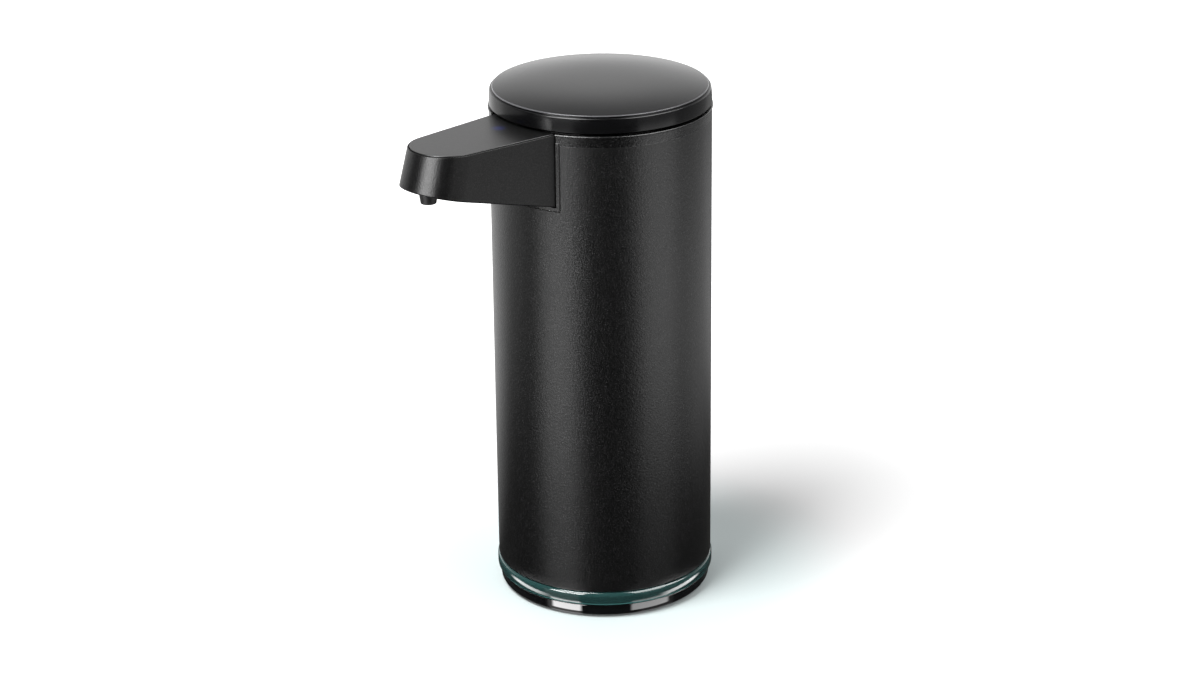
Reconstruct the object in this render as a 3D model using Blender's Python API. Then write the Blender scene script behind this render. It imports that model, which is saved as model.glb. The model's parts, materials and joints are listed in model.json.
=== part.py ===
"""Automatic soap dispenser: steel tube over a clear reservoir, pump head and fixed spout.

Metres, +Z up. The origin is the centre of the face it stands on. The spout points along -Y.
"""
from math import acos, atan2, cos, degrees, hypot, pi, radians, sin, sqrt, tan

import bmesh
import bpy
from mathutils import Matrix, Vector

# Clearances, cuts and facets
SEAT_GAP = 0.0003
TURN_GAP = 0.00015
OVERRUN = 0.002
MERGE_DISTANCE = 0.0000005
TUBE_STEPS = 40
BODY_STEPS = 32
SMALL_STEPS = 16
TINY_STEPS = 8
ARC_STEPS = 2
SHARP_ANGLE = 30.0

# Steel sleeve and its collar
TUBE_RADIUS = 0.0375
SLEEVE_WALL = 0.0006
COLLAR_PROUD = 0.0006
COLLAR_HEIGHT = 0.0035
COLLAR_SPIGOT = 0.0022
COLLAR_TAPER = 0.0019
COLLAR_EDGE = 0.0003
FRAME_STRIP = 0.0013
FRAME_SILL = 0.0010
FRAME_PROUD = 0.0004

# Base and pad
PAD_INSET = 0.0068
PAD_THICKNESS = 0.0012
PAD_PROUD = 0.0006
BASE_INSET = 0.0007
BASE_HEIGHT = 0.0041
BASE_ROUND = 0.0016
BASE_BEVEL = 0.0003
BASE_RIM = 0.0033
BASE_DISH_DEPTH = 0.0021

# Reservoir
RESERVOIR_WALL = 0.0016
RESERVOIR_FLOOR = 0.0024
RESERVOIR_HEIGHT = 0.0950
RESERVOIR_FILLET = 0.0030
FLANGE_PROUD = 0.0004
FLANGE_HEIGHT = 0.0049
FLANGE_ROUND = 0.0012
FOOT_RING_WIDTH = 0.0022
FOOT_RING_DEPTH = 0.0018

# Head chassis
CHASSIS_WALL = 0.0016
CHASSIS_FLOOR = 0.0020
CHASSIS_HEADROOM = 0.0006
SPIGOT_WALL = 0.0024
SPIGOT_DEPTH = 0.0068
SEAL_HEIGHT = 0.0018
SEAL_THICKNESS = 0.0011
SHELF_DEPTH = 0.0098
SHELF_THICKNESS = 0.0025
DECK_BOSS_RADIUS = 0.0032
DECK_BOSS_HEIGHT = 0.0160
DECK_BOSS_INSET = 0.0071
DECK_BOSS_ANGLES = (35.0, 145.0, 215.0, 325.0)
RIB_THICKNESS = 0.0020
RIB_STEP = 0.0010
SOCKET_WALL = 0.0011
SOCKET_HEIGHT = 0.0080

# Top deck and fill funnel
DECK_PLATE = 0.0022
DECK_RIM_WALL = 0.0014
DECK_RIM_HEIGHT = 0.0032
DECK_INSET = 0.0009
FUNNEL_GAP = 0.0015
FUNNEL_WALL = 0.0012
FUNNEL_FLANGE = 0.0024
FUNNEL_FLANGE_HEIGHT = 0.0010
FUNNEL_DROP = 0.0043
FUNNEL_CHAMFER = 0.0008

# Lid and its seal
LID_SHADOW_GAP = 0.0009
LID_DRAFT = 0.0002
LID_SKIRT_HEIGHT = 0.0054
LID_WALL = 0.0016
LID_DOME = 0.0010
LID_EDGE = 0.0003
LID_STEP = 0.0003
LID_SHOULDER = 0.0011
LID_RING_WALL = 0.0016
PLUG_GAP = 0.0004
PLUG_DEPTH = 0.0044
PLUG_FLANGE_HEIGHT = 0.0010
PLUG_PIN_RADIUS = 0.0030
PLUG_PIN_DEPTH = 0.0034
LID_BOSS_INSET = 0.0010
LID_BOSS_WALL = 0.0018

# Spout
SPOUT_REACH = 0.0789
SPOUT_NOSE_RADIUS = 0.0130
SPOUT_HALF_WIDTH = 0.0157
SPOUT_RAKE = 0.0038
SPOUT_NOSE_SWELL = 0.0005
SPOUT_ROOT_DEPTH = 0.0242
SPOUT_NOSE_DEPTH = 0.0121
SPOUT_TAIL = 0.0125
SPOUT_WALL = 0.0016
SPOUT_ROUND = 0.0005
SPOUT_LIP = 0.0004
COVER_THICKNESS = 0.0017
COVER_BEVEL = 0.0002
NOSE_STEPS = 16
ROUND_STEPS = 2
PAD_BOSS_RADIUS = 0.0032
PAD_BOSS_RISE = 0.0072
PAD_BOSS_X = 0.0090
PAD_BOSS_INSET = 0.0080

# Nozzle
NOZZLE_SET_BACK = 0.0045
NOZZLE_TIP_RADIUS = 0.0024
NOZZLE_ROOT_RADIUS = 0.0030
NOZZLE_DROP = 0.0035
NOZZLE_BORE = 0.0011
NOZZLE_FLANGE_RADIUS = 0.0041
NOZZLE_FLANGE_HEIGHT = 0.0009
NOZZLE_BARB_HEIGHT = 0.0008
TIP_BEVEL = 0.0004

# Proximity sensor under the spout
WINDOW_SHARE = 0.495
WINDOW_WIDTH = 0.0120
WINDOW_LENGTH = 0.0064
WINDOW_ROUND = 0.0030
WINDOW_FLANGE = 0.0009
WINDOW_FLANGE_THICKNESS = 0.0008
EYE_RADIUS = 0.0015
EYE_LENGTH = 0.0026
EYE_SPACING = 0.0060
SENSOR_BOARD_WIDTH = 0.0160
SENSOR_BOARD_LENGTH = 0.0090
BOARD_THICKNESS = 0.0010

# Touch board and status light under the spout cover
TOUCH_SHARE = 0.176
TOUCH_WIDTH = 0.0180
TOUCH_LENGTH = 0.0110
TOUCH_ROUND = 0.0015
LED_WIDTH = 0.0016
LED_LENGTH = 0.0010
LED_HEIGHT = 0.0006
LED_POCKET_RADIUS = 0.0022
LED_SKIN = 0.0008

# Gear pump
PUMP_PLACE_SHARES = (-0.386, -0.4)
GEAR_TEETH = 12
GEAR_MODULE = 0.0007
GEAR_ADDENDUM = 0.0006
GEAR_DEDENDUM = 0.00085
GEAR_BACKLASH = 0.00022
GEAR_SPREAD = 0.0001
GEAR_WIDTH = 0.0060
PRESSURE_ANGLE = 20.0
PUMP_WALL = 0.0022
PUMP_FLOOR = 0.0018
PUMP_COVER = 0.0018
PUMP_LUG_RADIUS = 0.0022
PUMP_LUG_OFFSET = 0.0013
PUMP_LUG_SPREAD = 0.0020
PUMP_LUG_STEP = 0.0003
PORT_RADIUS = 0.0013
PORT_OFFSET = 0.0038
NIPPLE_RADIUS = 0.0012
NIPPLE_BORE = 0.0007
NIPPLE_LENGTH = 0.0026
INLET_LENGTH = 0.0056
AXLE_RADIUS = 0.0010
AXLE_FLAT_SHARE = 0.62

# Motor
MOTOR_RADIUS = 0.0105
MOTOR_LENGTH = 0.0260
MOTOR_EDGE = 0.0010
MOTOR_NOSE_RADIUS = 0.0030
MOTOR_NOSE_LENGTH = 0.0015
MOTOR_TAIL_RADIUS = 0.0025
MOTOR_TAIL_LENGTH = 0.0012
MOTOR_SEAT_WALL = 0.0022
MOTOR_SEAT_HEIGHT = 0.0020
TERMINAL_SPACING = 0.0120
TERMINAL_WIDTH = 0.0020
TERMINAL_THICKNESS = 0.0005
TERMINAL_HEIGHT = 0.0030

# Hoses and strainer
HOSE_RADIUS = 0.0026
HOSE_BORE = 0.0015
HOSE_POINTS = 28
INTAKE_LIFT = 0.0046
STRAINER_RADIUS = 0.0050
STRAINER_HEIGHT = 0.0064
STRAINER_WALL = 0.0010
STRAINER_SLOT = 0.0012
STRAINER_SLOTS = 6

# Battery cell
CELL_SPACING = 0.0192
CELL_SET_BACK = 0.0060
CELL_RADIUS = 0.00915
CELL_LENGTH = 0.0650
CELL_BUTTON_RADIUS = 0.0030
CELL_BUTTON_HEIGHT = 0.0006
CELL_EDGE = 0.0006

# Main board and charge port
MAIN_BOARD_WIDTH = 0.0280
MAIN_BOARD_HEIGHT = 0.0340
MAIN_BOARD_GAP = 0.0005
MAIN_BOARD_INSET = 0.0085
MAIN_BOARD_THICKNESS = 0.0012
STANDOFF_RADIUS = 0.0022
STANDOFF_SIDE = 0.0030
STANDOFF_END = 0.0058
PORT_RISE = 0.0257
CHIP_SIZE_SHARES = ((0.25, 0.206, 0.83), (0.143, 0.153, 1.0), (0.171, 0.141, 1.67))
CHIP_PLACE_SHARES = ((-0.34, 0.132), (0.34, 0.125), (0.34, -0.147))
USB_WIDTH = 0.0089
USB_HEIGHT = 0.0032
USB_WALL = 0.00035
USB_DEPTH = 0.0055
USB_TONGUE_WIDTH = 0.0062
USB_TONGUE_HEIGHT = 0.0007
USB_SET_BACK = 0.0004

# Port surround and its hinged door
SURROUND_MARGIN = 0.0026
SURROUND_LIP = 0.0009
SURROUND_PROUD = 0.0007
SURROUND_DEPTH = 0.0056
SURROUND_ROUND = 0.0022
SURROUND_BEVEL = 0.0003
DOOR_WIDTH = 0.0122
DOOR_HEIGHT = 0.0064
DOOR_THICKNESS = 0.0015
DOOR_BARREL_RADIUS = 0.0010
DOOR_BARREL_SET_BACK = 0.0001
DOOR_GRIP_RADIUS = 0.0016
DOOR_ROUND = 0.0012
PIN_RADIUS = 0.0004
PIN_END = 0.0011

# Screws and leads
SCREW_RADIUS = 0.0011
SCREW_HEAD_RADIUS = 0.0022
SCREW_HEAD_HEIGHT = 0.0013
SCREW_HOLE = 0.0014
SCREW_BITE = 0.0060
SLOT_WIDTH = 0.0005
SLOT_DEPTH = 0.0006
SMALL_SCREW_RADIUS = 0.0008
SMALL_HEAD_RADIUS = 0.0015
SMALL_HEAD_HEIGHT = 0.0009
SMALL_HOLE = 0.0011
LEAD_RADIUS = 0.0006
LEAD_POINTS = 14

# Places worked out from the sizes, from the floor up
lining_radius = TUBE_RADIUS - SLEEVE_WALL - SEAT_GAP
collar_radius = TUBE_RADIUS + COLLAR_PROUD
flange_radius = TUBE_RADIUS + FLANGE_PROUD
base_radius = TUBE_RADIUS - BASE_INSET
dish_radius = base_radius - BASE_RIM
pad_radius = base_radius - PAD_INSET
base_bottom = PAD_PROUD
base_top = base_bottom + BASE_HEIGHT
dish_floor = base_top - BASE_DISH_DEPTH
flange_bottom = base_top + SEAT_GAP
flange_top = flange_bottom + FLANGE_HEIGHT
sleeve_bottom = flange_top + SEAT_GAP
reservoir_floor_top = flange_bottom + RESERVOIR_FLOOR
reservoir_top = flange_bottom + RESERVOIR_HEIGHT
reservoir_bore = lining_radius - RESERVOIR_WALL
chassis_bottom = reservoir_top + SEAT_GAP
chassis_floor_top = chassis_bottom + CHASSIS_FLOOR
cell_bottom = chassis_floor_top + SEAT_GAP
cell_top = cell_bottom + CELL_LENGTH
chassis_top = cell_top + CHASSIS_HEADROOM
chassis_bore = lining_radius - CHASSIS_WALL
deck_radius = lining_radius - DECK_INSET
deck_boss_centre = lining_radius - DECK_BOSS_INSET
deck_bottom = chassis_top + SEAT_GAP
deck_top = deck_bottom + DECK_PLATE
deck_rim_top = deck_top + DECK_RIM_HEIGHT
deck_rim_bore = deck_radius - DECK_RIM_WALL
collar_bore = deck_radius + SEAT_GAP
collar_low = deck_bottom + COLLAR_SPIGOT
collar_top = collar_low + COLLAR_HEIGHT
sleeve_top = collar_low - SEAT_GAP
lid_bottom = collar_top + LID_SHADOW_GAP
lid_rim_top = lid_bottom + LID_SKIRT_HEIGHT
lid_shoulder_top = lid_rim_top + LID_SHOULDER
lid_top = lid_shoulder_top + LID_DOME
lid_ceiling = lid_rim_top + LID_SHOULDER / 2 - LID_WALL
lid_rim_radius = TUBE_RADIUS - LID_DRAFT
spout_top = collar_top
cover_bottom = spout_top - COVER_THICKNESS
ledge_top = cover_bottom - SEAT_GAP
shoulder_y = sqrt(TUBE_RADIUS ** 2 - SPOUT_HALF_WIDTH ** 2)
tail_y = TUBE_RADIUS - SPOUT_TAIL
pad_boss_y = TUBE_RADIUS - PAD_BOSS_INSET
low_reach = SPOUT_REACH + SPOUT_RAKE
low_nose_radius = SPOUT_NOSE_RADIUS + SPOUT_NOSE_SWELL
nozzle_y = SPOUT_REACH - NOZZLE_SET_BACK
window_y = TUBE_RADIUS + (SPOUT_REACH - TUBE_RADIUS) * WINDOW_SHARE
touch_y = TUBE_RADIUS + (SPOUT_REACH - TUBE_RADIUS) * TOUCH_SHARE
underside_slope = (SPOUT_ROOT_DEPTH - SPOUT_NOSE_DEPTH) / (low_reach - TUBE_RADIUS)
underside_angle = atan2(SPOUT_ROOT_DEPTH - SPOUT_NOSE_DEPTH, low_reach - TUBE_RADIUS)
pump_x = chassis_bore * PUMP_PLACE_SHARES[0]
pump_y = chassis_bore * PUMP_PLACE_SHARES[1]
main_board_front = chassis_bore - MAIN_BOARD_INSET
main_board_back = main_board_front + MAIN_BOARD_THICKNESS
funnel_front = pump_y + MOTOR_RADIUS + FUNNEL_GAP
funnel_back = main_board_front - MAIN_BOARD_GAP
funnel_radius = (funnel_back - funnel_front) / 2
funnel_y = (funnel_back + funnel_front) / 2
funnel_bore = funnel_radius - FUNNEL_WALL
lid_boss_radius = funnel_radius - LID_BOSS_INSET
funnel_bottom = reservoir_top - FUNNEL_DROP
funnel_top = deck_top + SEAT_GAP + FUNNEL_FLANGE_HEIGHT
pitch_radius = GEAR_MODULE * GEAR_TEETH / 2
gear_tip_radius = pitch_radius + GEAR_ADDENDUM
gear_root_radius = pitch_radius - GEAR_DEDENDUM
gear_spacing = 2 * pitch_radius + GEAR_SPREAD
chamber_radius = gear_tip_radius + SEAT_GAP
pump_radius = chamber_radius + PUMP_WALL
pump_lug_reach = pump_radius + PUMP_LUG_OFFSET
driven_x = pump_x + gear_spacing
pump_middle_x = pump_x + gear_spacing / 2
pump_bottom = chassis_floor_top + SEAT_GAP
chamber_floor = pump_bottom + PUMP_FLOOR
gear_bottom = chamber_floor + SEAT_GAP
gear_top = gear_bottom + GEAR_WIDTH
pump_top = gear_top + SEAT_GAP
pump_cover_bottom = pump_top + SEAT_GAP
pump_cover_top = pump_cover_bottom + PUMP_COVER
motor_seat_top = pump_cover_top + MOTOR_SEAT_HEIGHT
motor_bottom = motor_seat_top + SEAT_GAP
motor_top = motor_bottom + MOTOR_LENGTH
port_z = (gear_bottom + gear_top) / 2
inlet_y = pump_y + PORT_OFFSET
outlet_y = pump_y - PORT_OFFSET
nipple_end_y = pump_y - pump_radius - NIPPLE_LENGTH
cell_x = driven_x + CELL_SPACING
cell_y = pump_y + CELL_SET_BACK
standoff_x = MAIN_BOARD_WIDTH / 2 - STANDOFF_SIDE
standoff_z = MAIN_BOARD_HEIGHT / 2 - STANDOFF_END
port_height = chassis_floor_top + PORT_RISE
surround_width = DOOR_WIDTH + 2 * SURROUND_MARGIN
surround_height = DOOR_HEIGHT + 2 * SURROUND_MARGIN
body_width = surround_width - 2 * SURROUND_LIP
body_height = surround_height - 2 * SURROUND_LIP
surround_face = TUBE_RADIUS + SURROUND_PROUD
hinge_y = surround_face - DOOR_BARREL_SET_BACK - DOOR_BARREL_RADIUS
recess_floor = hinge_y - DOOR_BARREL_RADIUS - SEAT_GAP
hinge_z = port_height - DOOR_HEIGHT / 2 + DOOR_BARREL_RADIUS


def spread(first, last, share):
    """Value a share of the way from first to last."""
    return first + (last - first) * share


def underside(distance):
    """Height of the spout's sloping underside at a distance from the tube's axis."""
    return spout_top - SPOUT_ROOT_DEPTH + (distance - TUBE_RADIUS) * underside_slope


def clear_scene():
    for item in list(bpy.data.objects):
        bpy.data.objects.remove(item, do_unlink=True)


def make_look(name, colour, roughness, metallic=0.0, alpha=1.0):
    """One Principled material with the finish of a piece."""
    look = bpy.data.materials.new(name)
    look.use_nodes = True
    shader = look.node_tree.nodes["Principled BSDF"]
    shader.inputs["Base Color"].default_value = (*colour, 1.0)
    shader.inputs["Roughness"].default_value = roughness
    shader.inputs["Metallic"].default_value = metallic
    shader.inputs["Alpha"].default_value = alpha
    return look


def new_object(name, bm):
    """Close a bmesh into a named object with its faces pointing out."""
    bmesh.ops.recalc_face_normals(bm, faces=bm.faces)
    mesh = bpy.data.meshes.new(name)
    bm.to_mesh(mesh)
    bm.free()
    item = bpy.data.objects.new(name, mesh)
    bpy.context.scene.collection.objects.link(item)
    return item


def set_mesh(item):
    """Keep an object's evaluated mesh in place of its modifiers."""
    bpy.context.view_layer.update()
    graph = bpy.context.evaluated_depsgraph_get()
    mesh = bpy.data.meshes.new_from_object(item.evaluated_get(graph))
    item.modifiers.clear()
    item.data = mesh


def combine(item, tool, operation):
    """Boolean an object with a tool, which is then removed."""
    modifier = item.modifiers.new(operation.lower(), "BOOLEAN")
    modifier.operation = operation
    modifier.object = tool
    modifier.solver = "EXACT"
    set_mesh(item)
    bpy.data.objects.remove(tool, do_unlink=True)
    return item


def cut(item, tool):
    return combine(item, tool, "DIFFERENCE")


def join(item, tool):
    return combine(item, tool, "UNION")


def keep_inside(item, tool):
    return combine(item, tool, "INTERSECT")


def place(item, matrix):
    """Move an object's mesh, with its origin left where it was."""
    item.data.transform(matrix)
    item.data.update()
    return item


def shift(item, x, y, z):
    return place(item, Matrix.Translation(Vector((x, y, z))))


def arc(centre_r, centre_z, radius, start, end, steps):
    """Points of a profile arc, from start to end in degrees."""
    points = []
    for step in range(steps + 1):
        angle = radians(spread(start, end, step / steps))
        points.append((centre_r + radius * cos(angle), centre_z + radius * sin(angle)))
    return points


def turned(name, profile, steps=BODY_STEPS, x=0.0, y=0.0):
    """Body of revolution about a vertical axis at x, y; profile is (radius, height) points."""
    bm = bmesh.new()
    points = [bm.verts.new((radius, 0.0, height)) for radius, height in profile]
    edges = []
    for first, second in zip(points, points[1:] + points[:1]):
        if first.co.x or second.co.x:
            edges.append(bm.edges.new((first, second)))
    bmesh.ops.spin(bm, geom=points + edges, cent=(0.0, 0.0, 0.0), axis=(0.0, 0.0, 1.0),
                   angle=2 * pi, steps=steps, use_merge=True)
    bmesh.ops.remove_doubles(bm, verts=bm.verts, dist=MERGE_DISTANCE)
    bmesh.ops.translate(bm, verts=bm.verts, vec=(x, y, 0.0))
    return new_object(name, bm)


def rod(name, radius, low, high, x=0.0, y=0.0, steps=SMALL_STEPS):
    return turned(name, [(0.0, low), (radius, low), (radius, high), (0.0, high)], steps, x, y)


def pipe(name, radius, bore, low, high, x=0.0, y=0.0, steps=SMALL_STEPS):
    return turned(name, [(bore, low), (radius, low), (radius, high), (bore, high)], steps, x, y)


def prism(name, outline, low, high):
    """Extrude an outline of (x, y) points between two heights."""
    bm = bmesh.new()
    face = bm.faces.new([bm.verts.new((x, y, low)) for x, y in outline])
    result = bmesh.ops.extrude_face_region(bm, geom=[face], use_keep_orig=True)
    raised = [part for part in result["geom"] if isinstance(part, bmesh.types.BMVert)]
    bmesh.ops.translate(bm, verts=raised, vec=(0.0, 0.0, high - low))
    return new_object(name, bm)


def loft(name, loops):
    """Bridge loops of equal length and close both ends."""
    bm = bmesh.new()
    rings = []
    for loop in loops:
        points = [bm.verts.new(point) for point in loop]
        rings.append([bm.edges.new(pair) for pair in zip(points, points[1:] + points[:1])])
    for lower, upper in zip(rings, rings[1:]):
        bmesh.ops.bridge_loops(bm, edges=lower + upper)
    bmesh.ops.holes_fill(bm, edges=bm.edges, sides=0)
    bmesh.ops.triangulate(bm, faces=bm.faces)
    return new_object(name, bm)


def box(name, low, high):
    """Box between two corners."""
    outline = [(low[0], low[1]), (high[0], low[1]), (high[0], high[1]), (low[0], high[1])]
    return prism(name, outline, low[2], high[2])


def rounded(width, depth, radius, steps=ARC_STEPS):
    """Outline of a rectangle with round corners, centred on the origin."""
    points = []
    corners = ((1, 1, 0.0), (-1, 1, 90.0), (-1, -1, 180.0), (1, -1, 270.0))
    for side_x, side_y, start in corners:
        points += arc(side_x * (width / 2 - radius), side_y * (depth / 2 - radius),
                      radius, start, start + 90.0, steps)
    return points


def smooth_path(points, count):
    """Even number of points on a smooth curve through a route's own points."""
    ends = [points[0] * 2 - points[1]] + list(points) + [points[-1] * 2 - points[-2]]
    pieces = len(points) - 1
    path = []
    for step in range(count + 1):
        place_on = step * pieces / count
        index = min(int(place_on), pieces - 1)
        share = place_on - index
        before, start, finish, after = ends[index:index + 4]
        path.append(0.5 * (2 * start + (finish - before) * share
                           + (2 * before - 5 * start + 4 * finish - after) * share ** 2
                           + (3 * start - before - 3 * finish + after) * share ** 3))
    return path


def swept(name, path, radius, resolution):
    """Solid round bar along a path of points, made from a bevelled curve."""
    curve = bpy.data.curves.new(name, "CURVE")
    curve.dimensions = "3D"
    curve.bevel_depth = radius
    curve.bevel_resolution = resolution
    curve.use_fill_caps = True
    spline = curve.splines.new("POLY")
    spline.points.add(len(path) - 1)
    for point, where in zip(spline.points, path):
        point.co = (*where, 1.0)
    guide = bpy.data.objects.new(name, curve)
    bpy.context.scene.collection.objects.link(guide)
    bpy.context.view_layer.update()
    graph = bpy.context.evaluated_depsgraph_get()
    mesh = bpy.data.meshes.new_from_object(guide.evaluated_get(graph))
    bpy.data.objects.remove(guide, do_unlink=True)
    bm = bmesh.new()
    bm.from_mesh(mesh)
    bmesh.ops.remove_doubles(bm, verts=bm.verts, dist=MERGE_DISTANCE)
    return new_object(name, bm)


def hose(name, points, count):
    """Flexible tube with its bore cut right through."""
    path = smooth_path(points, count)
    first = path[0] + (path[0] - path[1]).normalized() * OVERRUN
    last = path[-1] + (path[-1] - path[-2]).normalized() * OVERRUN
    outside = swept(name, path, HOSE_RADIUS, 2)
    return cut(outside, swept("bore", [first] + path + [last], HOSE_BORE, 1))


def screw_solid(name, x, y, seat, length, radius, head_radius, head_height):
    """Pan head screw standing on a seat height, with one driver slot."""
    head_low = seat + SEAT_GAP
    profile = [(0.0, seat - length), (radius, seat - length), (radius, head_low),
               (head_radius, head_low), (head_radius, head_low + head_height),
               (0.0, head_low + head_height)]
    item = turned(name, profile, TINY_STEPS, x, y)
    slot_floor = head_low + head_height - SLOT_DEPTH
    return cut(item, box("slot", (x - 2 * head_radius, y - SLOT_WIDTH / 2, slot_floor),
                         (x + 2 * head_radius, y + SLOT_WIDTH / 2, head_low + 2 * head_height)))


def spout_outline(reach, nose, grow, end):
    """Plan of the spout: tapering sides into a full round nose, moved out all round by grow."""
    reach, nose, half = reach + grow, nose + grow, SPOUT_HALF_WIDTH + grow
    centre = reach - nose
    run = centre - shoulder_y
    turn = atan2(half, -run) - acos(nose / hypot(half, run))
    points = [(half, -end), (half, -shoulder_y)]
    for step in range(NOSE_STEPS + 1):
        angle = spread(turn, -turn, step / NOSE_STEPS)
        points.append((nose * sin(angle), -(centre + nose * cos(angle))))
    return points + [(-half, -shoulder_y), (-half, -end)]


def spout_form(name, grow, lift, end, past_top):
    """Spout's outer form, or its inside when grow is negative, with a rounded lower edge."""
    loops = []
    for step in range(ROUND_STEPS + 1):
        angle = radians(spread(0.0, 90.0, step / ROUND_STEPS))
        inset = SPOUT_ROUND * (1 - sin(angle))
        rise = SPOUT_ROUND * (1 - cos(angle))
        outline = spout_outline(low_reach, low_nose_radius, grow - inset, end)
        loops.append([(x, y, underside(-y) + lift + rise) for x, y in outline])
    outline = spout_outline(SPOUT_REACH, SPOUT_NOSE_RADIUS, grow, end)
    loops.append([(x, y, spout_top) for x, y in outline])
    if past_top:
        loops.append([(x, y, spout_top + past_top) for x, y in outline])
    return loft(name, loops)


def on_underside(item, distance, depth):
    """Tilt a piece made flat at the origin to the underside, at a depth above its outer face."""
    turn = Matrix.Rotation(-underside_angle, 4, "X")
    lift = depth / cos(underside_angle)
    return place(item, Matrix.Translation((0.0, -distance, underside(distance) + lift)) @ turn)


def make_foot_pad():
    return rod("foot_pad", pad_radius, 0.0, PAD_THICKNESS, steps=BODY_STEPS)


def make_base_foot():
    """Black foot: rounded lower edge, dish for the reservoir above, seat for the pad below."""
    pad_seat = PAD_THICKNESS + SEAT_GAP
    pad_edge = pad_radius + SEAT_GAP
    profile = [(0.0, pad_seat), (pad_edge, pad_seat), (pad_edge, base_bottom)]
    profile += arc(base_radius - BASE_ROUND, base_bottom + BASE_ROUND, BASE_ROUND, -90.0, 0.0, ARC_STEPS)
    profile += [(base_radius, base_top - BASE_BEVEL), (base_radius - BASE_BEVEL, base_top),
                (dish_radius, base_top), (dish_radius, dish_floor), (0.0, dish_floor)]
    return turned("base_foot", profile, TUBE_STEPS)


def make_reservoir():
    """Clear cup whose bottom flange bulges out below the sleeve."""
    ring_outer = dish_radius - SEAT_GAP
    ring_inner = ring_outer - FOOT_RING_WIDTH
    ring_bottom = flange_bottom - FOOT_RING_DEPTH
    round_r = flange_radius - FLANGE_ROUND
    profile = [(0.0, flange_bottom), (ring_inner, flange_bottom), (ring_inner, ring_bottom),
               (ring_outer, ring_bottom), (ring_outer, flange_bottom)]
    profile += arc(round_r, flange_bottom + FLANGE_ROUND, FLANGE_ROUND, -90.0, 0.0, ARC_STEPS)
    profile += arc(round_r, flange_top - FLANGE_ROUND, FLANGE_ROUND, 0.0, 90.0, ARC_STEPS)
    profile += [(lining_radius, flange_top), (lining_radius, reservoir_top),
                (reservoir_bore, reservoir_top)]
    profile += arc(reservoir_bore - RESERVOIR_FILLET, reservoir_floor_top + RESERVOIR_FILLET,
                   RESERVOIR_FILLET, 0.0, -90.0, ARC_STEPS)
    profile += [(0.0, reservoir_floor_top)]
    return turned("reservoir", profile, TUBE_STEPS)


def frame_outline(grow):
    return spout_outline(SPOUT_REACH, SPOUT_NOSE_RADIUS, grow, tail_y)


def make_sleeve():
    """Steel tube with an open notch for the spout's frame and a hole for the charge port."""
    item = pipe("steel_sleeve", TUBE_RADIUS, TUBE_RADIUS - SLEEVE_WALL, sleeve_bottom, sleeve_top,
                steps=TUBE_STEPS)
    notch = frame_outline(FRAME_STRIP + 2 * SEAT_GAP)
    cut(item, prism("notch", notch, frame_bottom - SEAT_GAP, sleeve_top + OVERRUN))
    return cut(item, port_block("hole", body_width + 2 * SEAT_GAP,
                                body_height + 2 * SEAT_GAP, chassis_bore,
                                TUBE_RADIUS + OVERRUN))


def make_collar():
    """Ring that caps the sleeve, in one moulding with the frame round the spout's root."""
    profile = [(collar_bore, deck_bottom), (lining_radius, deck_bottom),
               (lining_radius, collar_low), (TUBE_RADIUS, collar_low),
               (collar_radius, collar_low + COLLAR_TAPER), (collar_radius, collar_top - COLLAR_EDGE),
               (collar_radius - COLLAR_EDGE, collar_top), (collar_bore, collar_top)]
    item = turned("collar_trim", profile, TUBE_STEPS)
    overlap = collar_low + COLLAR_HEIGHT / 4
    frame = prism("frame", frame_outline(FRAME_STRIP + SEAT_GAP), frame_bottom, overlap)
    keep_inside(frame, pipe("wall", TUBE_RADIUS + FRAME_PROUD, lining_radius + SEAT_GAP,
                            frame_bottom - OVERRUN, overlap + OVERRUN, steps=TUBE_STEPS))
    join(item, frame)
    return cut(item, spout_form("slot", SEAT_GAP, -SEAT_GAP, tail_y, OVERRUN))


def port_block(name, width, height, low_y, high_y, corner=SURROUND_ROUND):
    """Round cornered block along Y, centred on the charge port."""
    item = prism(name, rounded(width, height, corner), low_y, high_y)
    turn = Matrix.Rotation(radians(-90.0), 4, "X")
    return place(item, Matrix.Translation((0.0, 0.0, port_height)) @ turn)


def shelf_outline(radius, front):
    """Plan of a circle's slice in front of a straight edge."""
    half = degrees(acos(front / radius))
    return arc(0.0, 0.0, radius, -90.0 - half, -90.0 + half, BODY_STEPS // 4)


def make_head_floor():
    """Round plate that plugs into the reservoir's mouth and seats the pump and the cell."""
    seal_bore = reservoir_bore - SEAT_GAP
    seal_seat = seal_bore - SEAL_THICKNESS - SEAT_GAP / 2
    spigot_bottom = chassis_bottom - SPIGOT_DEPTH
    groove_low = spigot_bottom + (SPIGOT_DEPTH - SEAL_HEIGHT) / 2 - SEAT_GAP
    groove_high = groove_low + SEAL_HEIGHT + 2 * SEAT_GAP
    profile = [(0.0, chassis_bottom), (seal_bore - SPIGOT_WALL, chassis_bottom),
               (seal_bore - SPIGOT_WALL, spigot_bottom), (seal_bore, spigot_bottom),
               (seal_bore, groove_low), (seal_seat, groove_low), (seal_seat, groove_high),
               (seal_bore, groove_high), (seal_bore, chassis_bottom),
               (lining_radius, chassis_bottom), (lining_radius, chassis_floor_top),
               (0.0, chassis_floor_top)]
    item = turned("head_floor", profile)
    socket_low = chassis_floor_top - CHASSIS_FLOOR / 2
    socket_bore = CELL_RADIUS + SEAT_GAP
    join(item, pipe("socket", socket_bore + SOCKET_WALL, socket_bore, socket_low,
                    chassis_floor_top + SOCKET_HEIGHT, cell_x, cell_y))
    cut(item, rod("fill", funnel_radius + SEAT_GAP, chassis_bottom - OVERRUN,
                  chassis_floor_top + OVERRUN, 0.0, funnel_y))
    cut(item, rod("inlet", NIPPLE_RADIUS + SEAT_GAP, chassis_bottom - OVERRUN,
                  chassis_floor_top + OVERRUN, pump_middle_x, inlet_y, TINY_STEPS))
    return item


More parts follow.
